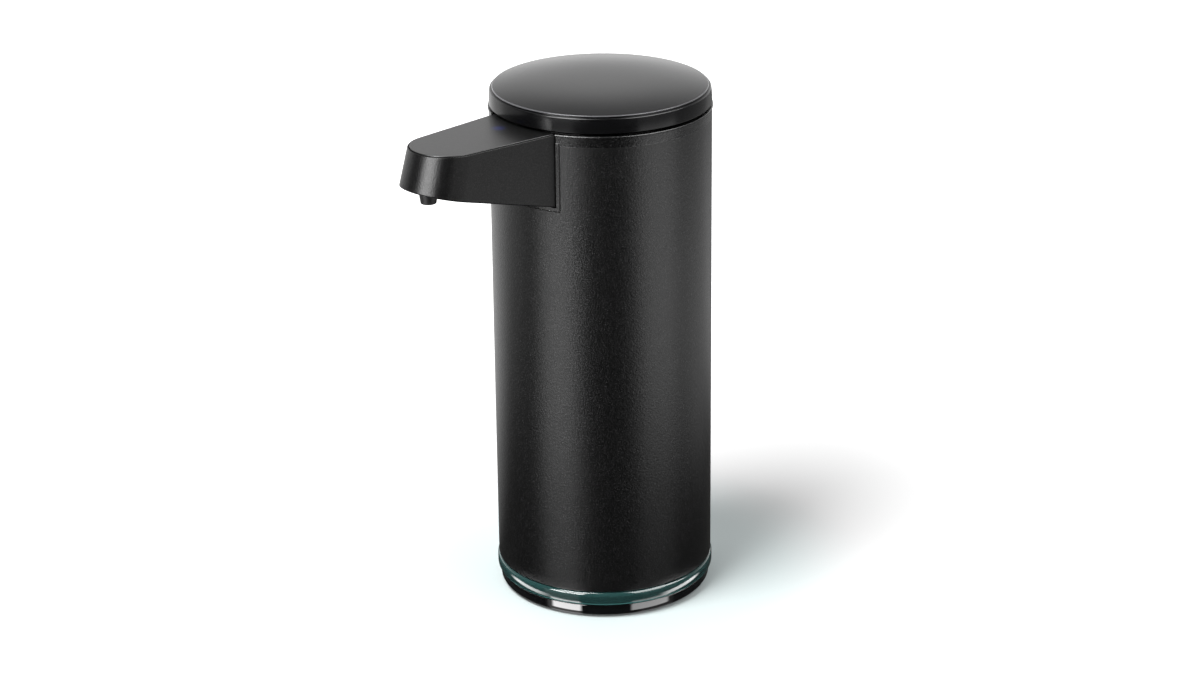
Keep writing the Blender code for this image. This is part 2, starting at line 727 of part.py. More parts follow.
def make_chassis():
    """Moulded wall with the spout's shelf, the deck's bosses and the board's posts."""
    item = pipe("head_chassis", lining_radius, chassis_bore, chassis_floor_top + SEAT_GAP,
                chassis_top, 0.0, 0.0, TUBE_STEPS)
    wall_middle = chassis_bore + CHASSIS_WALL / 2
    join(item, prism("shelf", shelf_outline(wall_middle, chassis_bore - SHELF_DEPTH),
                     shelf_top - SHELF_THICKNESS, shelf_top))
    for angle in DECK_BOSS_ANGLES:
        turn = radians(angle)
        x, y = deck_boss_centre * cos(turn), deck_boss_centre * sin(turn)
        low, high = chassis_top - DECK_BOSS_HEIGHT, chassis_top - SEAT_GAP
        rib = box("rib", (deck_boss_centre, -RIB_THICKNESS / 2, low + RIB_STEP),
                  (wall_middle, RIB_THICKNESS / 2, high - RIB_STEP))
        boss = join(rod("boss", DECK_BOSS_RADIUS, low, high, x, y, TINY_STEPS),
                    place(rib, Matrix.Rotation(turn, 4, "Z")))
        cut(boss, rod("hole", SCREW_HOLE, chassis_top - SCREW_BITE - OVERRUN,
                      chassis_top + OVERRUN, x, y, TINY_STEPS))
        join(item, boss)
    cut(item, spout_form("window", SEAT_GAP, -SEAT_GAP, tail_y - OVERRUN, OVERRUN))
    cut(item, port_block("port", body_width + 2 * SEAT_GAP,
                         body_height + 2 * SEAT_GAP, chassis_bore - OVERRUN,
                         TUBE_RADIUS))
    turn = Matrix.Translation((0.0, 0.0, port_height)) @ Matrix.Rotation(-pi / 2, 4, "X")
    for side in (-1, 1):
        cut(item, rod("hole", SCREW_HOLE, shelf_top - SHELF_THICKNESS - OVERRUN,
                      shelf_top + OVERRUN, side * PAD_BOSS_X, -pad_boss_y, TINY_STEPS))
        x, level = side * standoff_x, -side * standoff_z
        post = rod("post", STANDOFF_RADIUS, main_board_back + SEAT_GAP,
                   sqrt(wall_middle ** 2 - standoff_x ** 2), x, level, TINY_STEPS)
        cut(post, rod("hole", SMALL_HOLE, main_board_back - OVERRUN, chassis_bore - OVERRUN, x,
                      level, TINY_STEPS))
        join(item, place(post, turn))
    return item


def make_reservoir_seal():
    """Rubber ring with a round outer lip, in the groove of the head floor's spigot."""
    outer = reservoir_bore - SEAT_GAP
    inner = outer - SEAL_THICKNESS + SEAT_GAP / 2
    low = chassis_bottom - SPIGOT_DEPTH + (SPIGOT_DEPTH - SEAL_HEIGHT) / 2
    half = SEAL_HEIGHT / 2
    lip = arc(outer - half / 2, low + half, half / 2, -90.0, 90.0, ARC_STEPS)
    return turned("reservoir_seal", [(inner, low + half / 2)] + lip + [(inner, low + 3 * half / 2)])


def make_deck():
    """Top plate with a raised rim, the fill hole and four screw holes."""
    profile = [(0.0, deck_bottom), (deck_radius, deck_bottom), (deck_radius, deck_rim_top),
               (deck_rim_bore, deck_rim_top), (deck_rim_bore, deck_top), (0.0, deck_top)]
    item = turned("top_deck", profile)
    cut(item, rod("fill", funnel_radius + SEAT_GAP, deck_bottom - OVERRUN, deck_rim_top,
                  0.0, funnel_y))
    for angle in DECK_BOSS_ANGLES:
        x, y = deck_boss_centre * cos(radians(angle)), deck_boss_centre * sin(radians(angle))
        cut(item, rod("hole", SCREW_HOLE, deck_bottom - OVERRUN, deck_rim_top, x, y, TINY_STEPS))
    return item


def make_funnel():
    """Fill shaft from the deck down into the reservoir."""
    flange_low = deck_top + SEAT_GAP
    profile = [(funnel_radius, funnel_bottom), (funnel_radius, flange_low),
               (funnel_radius + FUNNEL_FLANGE, flange_low),
               (funnel_radius + FUNNEL_FLANGE, funnel_top),
               (funnel_bore + FUNNEL_CHAMFER, funnel_top),
               (funnel_bore, funnel_top - FUNNEL_CHAMFER), (funnel_bore, funnel_bottom)]
    return turned("fill_funnel", profile, SMALL_STEPS, 0.0, funnel_y)


def make_lid():
    """Domed lid with a rounded shoulder inside its rim, a skirt, a seating ring and a boss."""
    edge_centre = lid_rim_top - LID_EDGE
    skirt_bore = TUBE_RADIUS - LID_WALL
    ring_outer = deck_rim_bore - SEAT_GAP
    ring_bottom = deck_top + SEAT_GAP
    dome_radius = lid_rim_radius - LID_EDGE - LID_STEP - LID_SHOULDER
    profile = [(skirt_bore, lid_bottom), (TUBE_RADIUS, lid_bottom)]
    profile += arc(lid_rim_radius - LID_EDGE, edge_centre, LID_EDGE, 0.0, 90.0, ROUND_STEPS)
    profile += arc(dome_radius, lid_rim_top, LID_SHOULDER, 0.0, 90.0, ARC_STEPS)
    for step in range(1, ARC_STEPS + 1):
        share = 1 - step / ARC_STEPS
        profile.append((dome_radius * share, spread(lid_top, lid_shoulder_top, share ** 2)))
    profile += [(0.0, lid_ceiling), (ring_outer - LID_RING_WALL, lid_ceiling),
                (ring_outer - LID_RING_WALL, ring_bottom), (ring_outer, ring_bottom),
                (ring_outer, lid_ceiling), (skirt_bore, lid_ceiling)]
    item = turned("lid", profile, TUBE_STEPS)
    boss_low = plug_top + SEAT_GAP
    inside = lid_ceiling + LID_WALL / 2
    join(item, pipe("boss", lid_boss_radius, lid_boss_radius - LID_BOSS_WALL, boss_low, inside, 0.0, funnel_y))
    pin_low = plug_top - PLUG_PIN_DEPTH + SEAT_GAP
    return join(item, rod("pin", PLUG_PIN_RADIUS, pin_low, inside, 0.0, funnel_y, TINY_STEPS))


def make_fill_plug():
    """Silicone plug under the lid that closes the fill funnel."""
    radius = funnel_bore - PLUG_GAP
    flange = funnel_radius + FUNNEL_FLANGE - SEAT_GAP
    flange_low = funnel_top + SEAT_GAP
    bottom = flange_low - PLUG_DEPTH
    pin_hole = PLUG_PIN_RADIUS + SEAT_GAP
    profile = [(0.0, bottom), (radius - FUNNEL_CHAMFER, bottom), (radius, bottom + FUNNEL_CHAMFER),
               (radius, flange_low), (flange, flange_low), (flange, plug_top),
               (pin_hole, plug_top), (pin_hole, plug_top - PLUG_PIN_DEPTH),
               (0.0, plug_top - PLUG_PIN_DEPTH)]
    return turned("fill_plug", profile, SMALL_STEPS, 0.0, funnel_y)


def make_spout_shell():
    """Hollow spout, open at its tail and top, with two seats for its screws."""
    item = spout_form("spout_shell", 0.0, 0.0, tail_y, 0.0)
    cut(item, spout_form("inside", -SPOUT_WALL, SPOUT_WALL, tail_y - OVERRUN, OVERRUN))
    pocket = spout_outline(SPOUT_REACH, SPOUT_NOSE_RADIUS, -SPOUT_LIP, tail_y - OVERRUN)
    cut(item, prism("pocket", pocket, ledge_top, spout_top + OVERRUN))
    cut(item, rod("trim", collar_bore, chassis_top, spout_top + OVERRUN, steps=TUBE_STEPS))
    for side in (-1, 1):
        x, y = side * PAD_BOSS_X, -pad_boss_y
        join(item, rod("seat", PAD_BOSS_RADIUS, pad_bottom, pad_top, x, y, TINY_STEPS))
        cut(item, rod("hole", SCREW_HOLE, pad_bottom - OVERRUN, pad_top + OVERRUN, x, y,
                      TINY_STEPS))
    cut(item, rod("nozzle", NOZZLE_ROOT_RADIUS + SEAT_GAP, underside(nozzle_y) - 2 * OVERRUN,
                  underside(nozzle_y) + 2 * OVERRUN, 0.0, -nozzle_y))
    hole = prism("window", rounded(WINDOW_WIDTH + 2 * SEAT_GAP, WINDOW_LENGTH + 2 * SEAT_GAP,
                                   WINDOW_ROUND + SEAT_GAP), -OVERRUN, OVERRUN)
    return cut(item, on_underside(hole, window_y, SPOUT_WALL / 2))


def make_spout_cover():
    """Flat inset cover, thinned over the status light."""
    outline = spout_outline(SPOUT_REACH, SPOUT_NOSE_RADIUS, -SPOUT_LIP - SEAT_GAP, tail_y)
    edge = spout_outline(SPOUT_REACH, SPOUT_NOSE_RADIUS, -SPOUT_LIP - SEAT_GAP - COVER_BEVEL,
                         tail_y)
    loops = [[(x, y, cover_bottom) for x, y in outline],
             [(x, y, spout_top - COVER_BEVEL) for x, y in outline],
             [(x, y, spout_top) for x, y in edge]]
    item = loft("spout_cover", loops)
    cut(item, rod("trim", collar_bore, cover_bottom - OVERRUN, spout_top + OVERRUN,
                  steps=TUBE_STEPS))
    return cut(item, rod("pocket", LED_POCKET_RADIUS, cover_bottom - OVERRUN,
                         spout_top - LED_SKIN, 0.0, -touch_y, TINY_STEPS))


def make_nozzle():
    """Tapered outlet with a flange inside the spout and a barb for the hose."""
    tip = underside(nozzle_y) - NOZZLE_DROP
    skin = underside(nozzle_y) - NOZZLE_ROOT_RADIUS * underside_slope
    flange = nozzle_flange_bottom
    barb_top = flange + NOZZLE_FLANGE_HEIGHT + NOZZLE_BARB_HEIGHT
    profile = [(NOZZLE_BORE, tip), (NOZZLE_TIP_RADIUS - TIP_BEVEL, tip),
               (NOZZLE_TIP_RADIUS, tip + TIP_BEVEL), (NOZZLE_ROOT_RADIUS, skin),
               (NOZZLE_ROOT_RADIUS, flange), (NOZZLE_FLANGE_RADIUS, flange),
               (NOZZLE_FLANGE_RADIUS, flange + NOZZLE_FLANGE_HEIGHT),
               (NIPPLE_RADIUS, flange + NOZZLE_FLANGE_HEIGHT), (NIPPLE_RADIUS, barb_top),
               (NIPPLE_BORE, barb_top), (NIPPLE_BORE, flange)]
    return turned("nozzle", profile, SMALL_STEPS, 0.0, -nozzle_y)


def make_sensor_window():
    """Dark lens let into the underside, with a flange on its inner face."""
    item = prism("sensor_window", rounded(WINDOW_WIDTH, WINDOW_LENGTH, WINDOW_ROUND),
                 0.0, SPOUT_WALL + 2 * SEAT_GAP)
    flange = prism("flange", rounded(WINDOW_WIDTH + 2 * WINDOW_FLANGE,
                                     WINDOW_LENGTH + 2 * WINDOW_FLANGE,
                                     WINDOW_ROUND + WINDOW_FLANGE),
                   SPOUT_WALL + SEAT_GAP, SPOUT_WALL + SEAT_GAP + WINDOW_FLANGE_THICKNESS)
    return on_underside(join(item, flange), window_y, 0.0)


def make_eye(name, side):
    """Infrared diode with a domed end that looks down through the window."""
    low = SPOUT_WALL + 2 * SEAT_GAP + WINDOW_FLANGE_THICKNESS
    profile = [(radius, low + EYE_RADIUS - height) for radius, height in
               arc(0.0, 0.0, EYE_RADIUS, 90.0, 0.0, ARC_STEPS)]
    profile[0] = (0.0, low)
    profile += [(EYE_RADIUS, low + EYE_LENGTH), (0.0, low + EYE_LENGTH)]
    item = turned(name, profile, TINY_STEPS, side * EYE_SPACING / 2)
    return on_underside(item, window_y, 0.0)


def make_sensor_board():
    item = prism("sensor_board", rounded(SENSOR_BOARD_WIDTH, SENSOR_BOARD_LENGTH, TOUCH_ROUND),
                 sensor_stack - BOARD_THICKNESS, sensor_stack)
    return on_underside(item, window_y, 0.0)


def make_touch_board():
    top = cover_bottom - SEAT_GAP
    item = prism("touch_board", rounded(TOUCH_WIDTH, TOUCH_LENGTH, TOUCH_ROUND),
                 top - BOARD_THICKNESS, top)
    return shift(item, 0.0, -touch_y, 0.0)


def make_status_led():
    item = prism("status_led", rounded(LED_WIDTH, LED_LENGTH, LED_LENGTH / 5),
                 cover_bottom, cover_bottom + LED_HEIGHT)
    return shift(item, 0.0, -touch_y, 0.0)


def gear_outline():
    """Involute teeth, thinned for backlash, with the first tooth pointing along +X."""
    base_radius = pitch_radius * cos(radians(PRESSURE_ANGLE))
    lead = tan(radians(PRESSURE_ANGLE)) - radians(PRESSURE_ANGLE)
    half_tooth = pi / (2 * GEAR_TEETH) - GEAR_BACKLASH / (2 * pitch_radius)
    flank = [(gear_root_radius, half_tooth + lead)]
    for step in range(4):
        radius = spread(base_radius, gear_tip_radius, step / 3)
        roll = acos(min(1.0, base_radius / radius))
        flank.append((radius, half_tooth + lead - (tan(roll) - roll)))
    points = []
    for tooth in range(GEAR_TEETH):
        middle = 2 * pi * tooth / GEAR_TEETH
        for radius, angle in flank:
            points.append((radius * cos(middle - angle), radius * sin(middle - angle)))
        for radius, angle in reversed(flank):
            points.append((radius * cos(middle + angle), radius * sin(middle + angle)))
    return points


def d_outline(radius, flat_share):
    """Round with one flat across it, facing +X."""
    half = degrees(acos(flat_share))
    return arc(0.0, 0.0, radius, half, 360.0 - half, TINY_STEPS)


def make_drive_gear():
    """Gear keyed to the motor's shaft by a flat."""
    item = prism("drive_gear", gear_outline(), gear_bottom, gear_top)
    cut(item, prism("bore", d_outline(AXLE_RADIUS + TURN_GAP, AXLE_FLAT_SHARE),
                    gear_bottom - OVERRUN, gear_top + OVERRUN))
    return shift(item, pump_x, pump_y, 0.0)


def make_driven_gear():
    """Idle gear, half a tooth round from the first, which runs on its own pin."""
    item = prism("driven_gear", gear_outline(), gear_bottom, gear_top)
    place(item, Matrix.Rotation(pi / GEAR_TEETH, 4, "Z"))
    cut(item, rod("bore", AXLE_RADIUS + TURN_GAP, gear_bottom - OVERRUN, gear_top + OVERRUN,
                  steps=TINY_STEPS))
    return shift(item, driven_x, pump_y, 0.0)


def make_motor_shaft():
    """Shaft out of the motor's nose, with a flat where it drives the gear."""
    item = rod("motor_shaft", AXLE_RADIUS, gear_bottom, shaft_top, pump_x, pump_y, TINY_STEPS)
    flat = AXLE_RADIUS * AXLE_FLAT_SHARE
    return cut(item, box("flat", (pump_x + flat, pump_y - 2 * AXLE_RADIUS, gear_bottom - OVERRUN),
                         (pump_x + 2 * AXLE_RADIUS, pump_y + 2 * AXLE_RADIUS, gear_top)))


def make_driven_pin():
    """Fixed pin of the idle gear, from the pump's floor into its cover."""
    return rod("driven_pin", AXLE_RADIUS, chamber_floor - PUMP_FLOOR / 2, pump_cover_top,
               driven_x, pump_y, TINY_STEPS)


def pump_outline(radius):
    """Plan round both gears."""
    return (arc(driven_x, pump_y, radius, -90.0, 90.0, TINY_STEPS)
            + arc(pump_x, pump_y, radius, 90.0, 270.0, TINY_STEPS))


def pump_lugs():
    """Centres of the four lugs beside the gear chamber."""
    return [(pump_x - PUMP_LUG_SPREAD, -1), (pump_x - PUMP_LUG_SPREAD, 1),
            (driven_x + PUMP_LUG_SPREAD, -1), (driven_x + PUMP_LUG_SPREAD, 1)]


def make_pump_housing():
    """Gear chamber with its inlet nipple below and its outlet nipple in front."""
    item = prism("pump_housing", pump_outline(pump_radius), pump_bottom, pump_top)
    for x, side in pump_lugs():
        join(item, pipe("lug", PUMP_LUG_RADIUS, SMALL_HOLE, pump_bottom + PUMP_LUG_STEP,
                        pump_top - PUMP_LUG_STEP, x, pump_y + side * pump_lug_reach, TINY_STEPS))
    turn = Matrix.Translation((pump_middle_x, 0.0, port_z)) @ Matrix.Rotation(pi / 2, 4, "X")
    join(item, place(rod("nipple", NIPPLE_RADIUS, -outlet_y, -nipple_end_y, steps=TINY_STEPS),
                     turn))
    join(item, rod("inlet", NIPPLE_RADIUS, pump_bottom - INLET_LENGTH, chamber_floor,
                   pump_middle_x, inlet_y, TINY_STEPS))
    cut(item, rod("first", chamber_radius, chamber_floor, pump_top + OVERRUN, pump_x, pump_y))
    cut(item, rod("second", chamber_radius, chamber_floor, pump_top + OVERRUN, driven_x, pump_y))
    for y in (inlet_y, outlet_y):
        cut(item, rod("pocket", PORT_RADIUS, chamber_floor, pump_top + OVERRUN, pump_middle_x, y,
                      TINY_STEPS))
    cut(item, place(rod("bore", NIPPLE_BORE, -outlet_y, -nipple_end_y + OVERRUN,
                        steps=TINY_STEPS), turn))
    cut(item, rod("drop", NIPPLE_BORE, pump_bottom - INLET_LENGTH - OVERRUN,
                  chamber_floor + OVERRUN, pump_middle_x, inlet_y, TINY_STEPS))
    cut(item, rod("pin_hole", AXLE_RADIUS + TURN_GAP, chamber_floor - PUMP_FLOOR / 2 - SEAT_GAP,
                  chamber_floor + OVERRUN, driven_x, pump_y, TINY_STEPS))
    return item


def make_pump_cover():
    """Plate over the gears, with the ring that the motor's nose seats in."""
    item = prism("pump_cover", pump_outline(pump_radius), pump_cover_bottom, pump_cover_top)
    for x, side in pump_lugs():
        y = pump_y + side * pump_lug_reach
        join(item, pipe("lug", PUMP_LUG_RADIUS, SMALL_HOLE, pump_cover_bottom + PUMP_LUG_STEP,
                        pump_cover_top - PUMP_LUG_STEP, x, y, TINY_STEPS))
    seat_bore = MOTOR_NOSE_RADIUS + SEAT_GAP
    join(item, pipe("seat", seat_bore + MOTOR_SEAT_WALL, seat_bore,
                    spread(pump_cover_bottom, pump_cover_top, 0.5), motor_seat_top,
                    pump_x, pump_y))
    cut(item, rod("shaft", AXLE_RADIUS + SEAT_GAP, pump_cover_bottom - OVERRUN,
                  pump_cover_top + OVERRUN, pump_x, pump_y, TINY_STEPS))
    return cut(item, rod("pin", AXLE_RADIUS + TURN_GAP, pump_cover_bottom - OVERRUN,
                         pump_cover_top + OVERRUN, driven_x, pump_y, TINY_STEPS))


def make_motor():
    """Round motor can with its nose down, two terminals on its tail."""
    nose_bottom = motor_bottom - MOTOR_NOSE_LENGTH
    bore = AXLE_RADIUS + TURN_GAP
    profile = [(bore, nose_bottom), (MOTOR_NOSE_RADIUS, nose_bottom),
               (MOTOR_NOSE_RADIUS, motor_bottom)]
    profile += arc(MOTOR_RADIUS - MOTOR_EDGE, motor_bottom + MOTOR_EDGE, MOTOR_EDGE, -90.0, 0.0, 2)
    profile += arc(MOTOR_RADIUS - MOTOR_EDGE, motor_top - MOTOR_EDGE, MOTOR_EDGE, 0.0, 90.0, 2)
    profile += [(MOTOR_TAIL_RADIUS, motor_top), (MOTOR_TAIL_RADIUS, motor_top + MOTOR_TAIL_LENGTH),
                (0.0, motor_top + MOTOR_TAIL_LENGTH), (0.0, shaft_top + SEAT_GAP),
                (bore, shaft_top + SEAT_GAP)]
    item = turned("motor_case", profile, SMALL_STEPS, pump_x, pump_y)
    for side in (-1, 1):
        x = pump_x + side * TERMINAL_SPACING / 2
        join(item, box("tab", (x - TERMINAL_THICKNESS / 2, pump_y - TERMINAL_WIDTH / 2,
                               motor_top - MOTOR_EDGE),
                       (x + TERMINAL_THICKNESS / 2, pump_y + TERMINAL_WIDTH / 2,
                        motor_top + TERMINAL_HEIGHT)))
    return item


def make_outlet_hose():
    """Hose from the pump's outlet, up past the motor and along the spout to the nozzle."""
    start_y = pump_y - pump_radius - SEAT_GAP
    straight_y = nipple_end_y - HOSE_RADIUS
    turn_y = straight_y - 1.3 * HOSE_RADIUS
    rise_y = -(pad_boss_y - 2 * HOSE_RADIUS - SHELF_THICKNESS)
    end_z = nozzle_flange_bottom + NOZZLE_FLANGE_HEIGHT + SEAT_GAP
    crown_z = ledge_top - HOSE_RADIUS - SEAT_GAP
    route = [Vector((pump_middle_x, start_y, port_z)),
             Vector((pump_middle_x, nipple_end_y, port_z)),
             Vector((pump_middle_x, straight_y, port_z)),
             Vector((pump_middle_x, turn_y, port_z + 1.6 * HOSE_RADIUS)),
             Vector((pump_middle_x * 0.7, turn_y, spread(port_z, shelf_top, 0.4))),
             Vector((0.0, rise_y, spread(port_z, shelf_top, 0.85))),
             Vector((0.0, rise_y - HOSE_RADIUS / 2, pad_top)),
             Vector((0.0, -tail_y - 2 * HOSE_RADIUS, spread(pad_top, crown_z, 0.5))),
             Vector((0.0, -touch_y, spread(pad_top, crown_z, 0.72))),
             Vector((0.0, -window_y - HOSE_RADIUS, spread(pad_top, crown_z, 0.91))),
             Vector((0.0, -nozzle_y + 2 * HOSE_RADIUS, crown_z)),
             Vector((0.0, -nozzle_y + HOSE_RADIUS / 4, end_z + HOSE_RADIUS)),
             Vector((0.0, -nozzle_y, end_z))]
    return hose("outlet_hose", route, HOSE_POINTS)


def make_intake_tube():
    low = reservoir_floor_top + INTAKE_LIFT
    high = chassis_bottom - SEAT_GAP
    return pipe("intake_tube", HOSE_RADIUS, HOSE_BORE, low, high, pump_middle_x, inlet_y,
                TINY_STEPS)


def make_strainer():
    """Slotted foot round the end of the intake tube."""
    low = reservoir_floor_top + SEAT_GAP
    bore = HOSE_RADIUS + SEAT_GAP
    tube_low = reservoir_floor_top + INTAKE_LIFT - SEAT_GAP
    profile = [(STRAINER_RADIUS - STRAINER_WALL, low), (STRAINER_RADIUS, low),
               (STRAINER_RADIUS, low + STRAINER_HEIGHT - STRAINER_WALL),
               (bore + STRAINER_WALL, low + STRAINER_HEIGHT), (bore, low + STRAINER_HEIGHT),
               (bore, tube_low), (HOSE_BORE, tube_low), (HOSE_BORE, tube_low - STRAINER_WALL),
               (STRAINER_RADIUS - STRAINER_WALL, tube_low - STRAINER_WALL)]
    item = turned("strainer", profile, SMALL_STEPS)
    slot_top = tube_low - STRAINER_WALL - SEAT_GAP
    for step in range(STRAINER_SLOTS // 2):
        slot = box("slot", (-STRAINER_RADIUS - OVERRUN, -STRAINER_SLOT / 2, low - OVERRUN),
                   (STRAINER_RADIUS + OVERRUN, STRAINER_SLOT / 2, slot_top))
        cut(item, place(slot, Matrix.Rotation(2 * pi * step / STRAINER_SLOTS, 4, "Z")))
    return shift(item, pump_middle_x, inlet_y, 0.0)


def make_cell():
    """Cylindrical cell with a rolled edge and its button on top."""
    profile = [(0.0, cell_bottom), (CELL_RADIUS - CELL_EDGE, cell_bottom),
               (CELL_RADIUS, cell_bottom + CELL_EDGE),
               (CELL_RADIUS, cell_top - CELL_BUTTON_HEIGHT - CELL_EDGE),
               (CELL_RADIUS - CELL_EDGE, cell_top - CELL_BUTTON_HEIGHT),
               (CELL_BUTTON_RADIUS, cell_top - CELL_BUTTON_HEIGHT), (CELL_BUTTON_RADIUS, cell_top),
               (0.0, cell_top)]
    return turned("battery_cell", profile, SMALL_STEPS, cell_x, cell_y)


def make_main_board():
    """Upright board behind the funnel, with its larger components."""
    item = box("main_board", (-MAIN_BOARD_WIDTH / 2, main_board_front,
                              port_height - MAIN_BOARD_HEIGHT / 2),
               (MAIN_BOARD_WIDTH / 2, main_board_back, port_height + MAIN_BOARD_HEIGHT / 2))
    for sizes, (side, rise) in zip(CHIP_SIZE_SHARES, CHIP_PLACE_SHARES):
        width, height = MAIN_BOARD_WIDTH * sizes[0], MAIN_BOARD_HEIGHT * sizes[1]
        x, z = MAIN_BOARD_WIDTH * side, port_height + MAIN_BOARD_HEIGHT * rise
        chip = box("chip", (x - width / 2, main_board_back - MAIN_BOARD_THICKNESS / 2,
                            z - height / 2),
                   (x + width / 2, main_board_back + MAIN_BOARD_THICKNESS * sizes[2],
                    z + height / 2))
        join(item, chip)
    turn = Matrix.Translation((0.0, 0.0, port_height)) @ Matrix.Rotation(-pi / 2, 4, "X")
    for side in (-1, 1):
        hole = rod("hole", SMALL_HOLE, main_board_front - OVERRUN, main_board_back + OVERRUN,
                   side * standoff_x, -side * standoff_z, TINY_STEPS)
        cut(item, place(hole, turn))
    return item


def make_usb_port():
    """Metal shell of the charge socket with its tongue, opening to the rear."""
    low = main_board_back + SEAT_GAP
    high = recess_floor - USB_SET_BACK
    item = port_block("usb_port", USB_WIDTH, USB_HEIGHT, low, high, USB_HEIGHT / 2 - USB_WALL)
    cut(item, port_block("mouth", USB_WIDTH - 2 * USB_WALL, USB_HEIGHT - 2 * USB_WALL,
                         high - USB_DEPTH, high + OVERRUN, USB_HEIGHT / 2 - 2 * USB_WALL))
    tongue = box("tongue", (-USB_TONGUE_WIDTH / 2, high - USB_DEPTH - USB_WALL,
                            port_height - USB_TONGUE_HEIGHT / 2),
                 (USB_TONGUE_WIDTH / 2, high - USB_WALL, port_height + USB_TONGUE_HEIGHT / 2))
    return join(item, tongue)


def x_rod(name, radius, low_x, high_x, y, z):
    """Round bar along X."""
    item = rod(name, radius, low_x, high_x, steps=TINY_STEPS)
    turn = Matrix.Rotation(pi / 2, 4, "Y")
    return place(item, Matrix.Translation((0.0, y, z)) @ turn)


def make_port_surround():
    """Bezel through the rear of the tube, its flat face recessed for the door."""
    item = port_block("port_surround", surround_width, surround_height,
                      TUBE_RADIUS - 2 * OVERRUN, surround_face)
    bevel = item.modifiers.new("bevel", "BEVEL")
    bevel.width = SURROUND_BEVEL
    bevel.segments = 1
    bevel.limit_method = "ANGLE"
    set_mesh(item)
    cut(item, rod("tube", TUBE_RADIUS + SEAT_GAP, port_height - surround_height,
                  port_height + surround_height, steps=TUBE_STEPS))
    join(item, port_block("body", body_width, body_height,
                          surround_face - SURROUND_DEPTH, surround_face - SURROUND_PROUD / 2))
    cut(item, port_block("recess", DOOR_WIDTH + 2 * SEAT_GAP, DOOR_HEIGHT + 2 * SEAT_GAP,
                         recess_floor, surround_face + OVERRUN, DOOR_ROUND + SEAT_GAP))
    cut(item, box("barrel_seat", (-DOOR_WIDTH / 2 - SEAT_GAP, recess_floor,
                                  hinge_z - DOOR_BARREL_RADIUS - SEAT_GAP),
                  (DOOR_WIDTH / 2 + SEAT_GAP, surround_face + OVERRUN, hinge_z)))
    cut(item, port_block("mouth", USB_WIDTH + 2 * SEAT_GAP, USB_HEIGHT + 2 * SEAT_GAP,
                         surround_face - SURROUND_DEPTH - OVERRUN, surround_face,
                         USB_HEIGHT / 2))
    return cut(item, x_rod("pin_hole", PIN_RADIUS + TURN_GAP, -pin_half - SEAT_GAP,
                           pin_half + SEAT_GAP, hinge_y, hinge_z))


def make_charge_door():
    """Door over the charge port: a plate with its hinge barrel along the lower edge."""
    item = port_block("charge_door", DOOR_WIDTH, DOOR_HEIGHT, surround_face - DOOR_THICKNESS,
                      surround_face, DOOR_ROUND)
    floor = port_height - DOOR_HEIGHT
    cut(item, box("foot", (-DOOR_WIDTH, surround_face - 2 * DOOR_THICKNESS, floor),
                  (DOOR_WIDTH, surround_face + OVERRUN, hinge_z - DOOR_BARREL_RADIUS / 2)))
    barrel_half = DOOR_WIDTH / 2 - TURN_GAP
    join(item, x_rod("barrel", DOOR_BARREL_RADIUS, -barrel_half, barrel_half, hinge_y, hinge_z))
    cut(item, x_rod("bore", PIN_RADIUS + TURN_GAP, -DOOR_WIDTH, DOOR_WIDTH, hinge_y, hinge_z))
    grip_z = port_height + DOOR_HEIGHT / 2 + SEAT_GAP
    grip_y = surround_face + DOOR_GRIP_RADIUS * 0.6
    return cut(item, x_rod("grip", DOOR_GRIP_RADIUS, -DOOR_WIDTH / 5, DOOR_WIDTH / 5, grip_y,
                           grip_z))


def make_door_pin():
    return x_rod("door_pin", PIN_RADIUS, -pin_half, pin_half, hinge_y, hinge_z)


def make_screws():
    """Screws of the deck, the spout, the pump and the main board."""
    screws = []
    for index, angle in enumerate(DECK_BOSS_ANGLES):
        x, y = deck_boss_centre * cos(radians(angle)), deck_boss_centre * sin(radians(angle))
        screws.append(screw_solid(f"deck_screw_{index + 1}", x, y, deck_top,
                                  DECK_PLATE + SCREW_BITE, SCREW_RADIUS, SCREW_HEAD_RADIUS,
                                  SCREW_HEAD_HEIGHT))
    for side, where in ((-1, "left"), (1, "right")):
        screws.append(screw_solid(f"spout_screw_{where}", side * PAD_BOSS_X, -pad_boss_y, pad_top,
                                  PAD_BOSS_RISE + SHELF_THICKNESS, SCREW_RADIUS,
                                  SCREW_HEAD_RADIUS, SCREW_HEAD_HEIGHT))
    for index, (x, side) in enumerate(pump_lugs()):
        screws.append(screw_solid(f"pump_screw_{index + 1}", x, pump_y + side * pump_lug_reach,
                                  pump_cover_top - PUMP_LUG_STEP, PUMP_COVER + GEAR_WIDTH, SMALL_SCREW_RADIUS,
                                  SMALL_HEAD_RADIUS, SMALL_HEAD_HEIGHT))
    turn = Matrix.Rotation(pi / 2, 4, "X")
    for side, level, where in ((-1, -1, "lower"), (1, 1, "upper")):
        item = screw_solid(f"board_screw_{where}", side * standoff_x, 0.0, 0.0,
                           STANDOFF_RADIUS * 2, SMALL_SCREW_RADIUS, SMALL_HEAD_RADIUS,
                           SMALL_HEAD_HEIGHT)
        where_to = Matrix.Translation((0.0, main_board_front, port_height + level * standoff_z))
        screws.append(place(item, where_to @ turn))
    return screws


def lead(name, points):
    return swept(name, smooth_path([Vector(point) for point in points], LEAD_POINTS),
                 LEAD_RADIUS, 1)


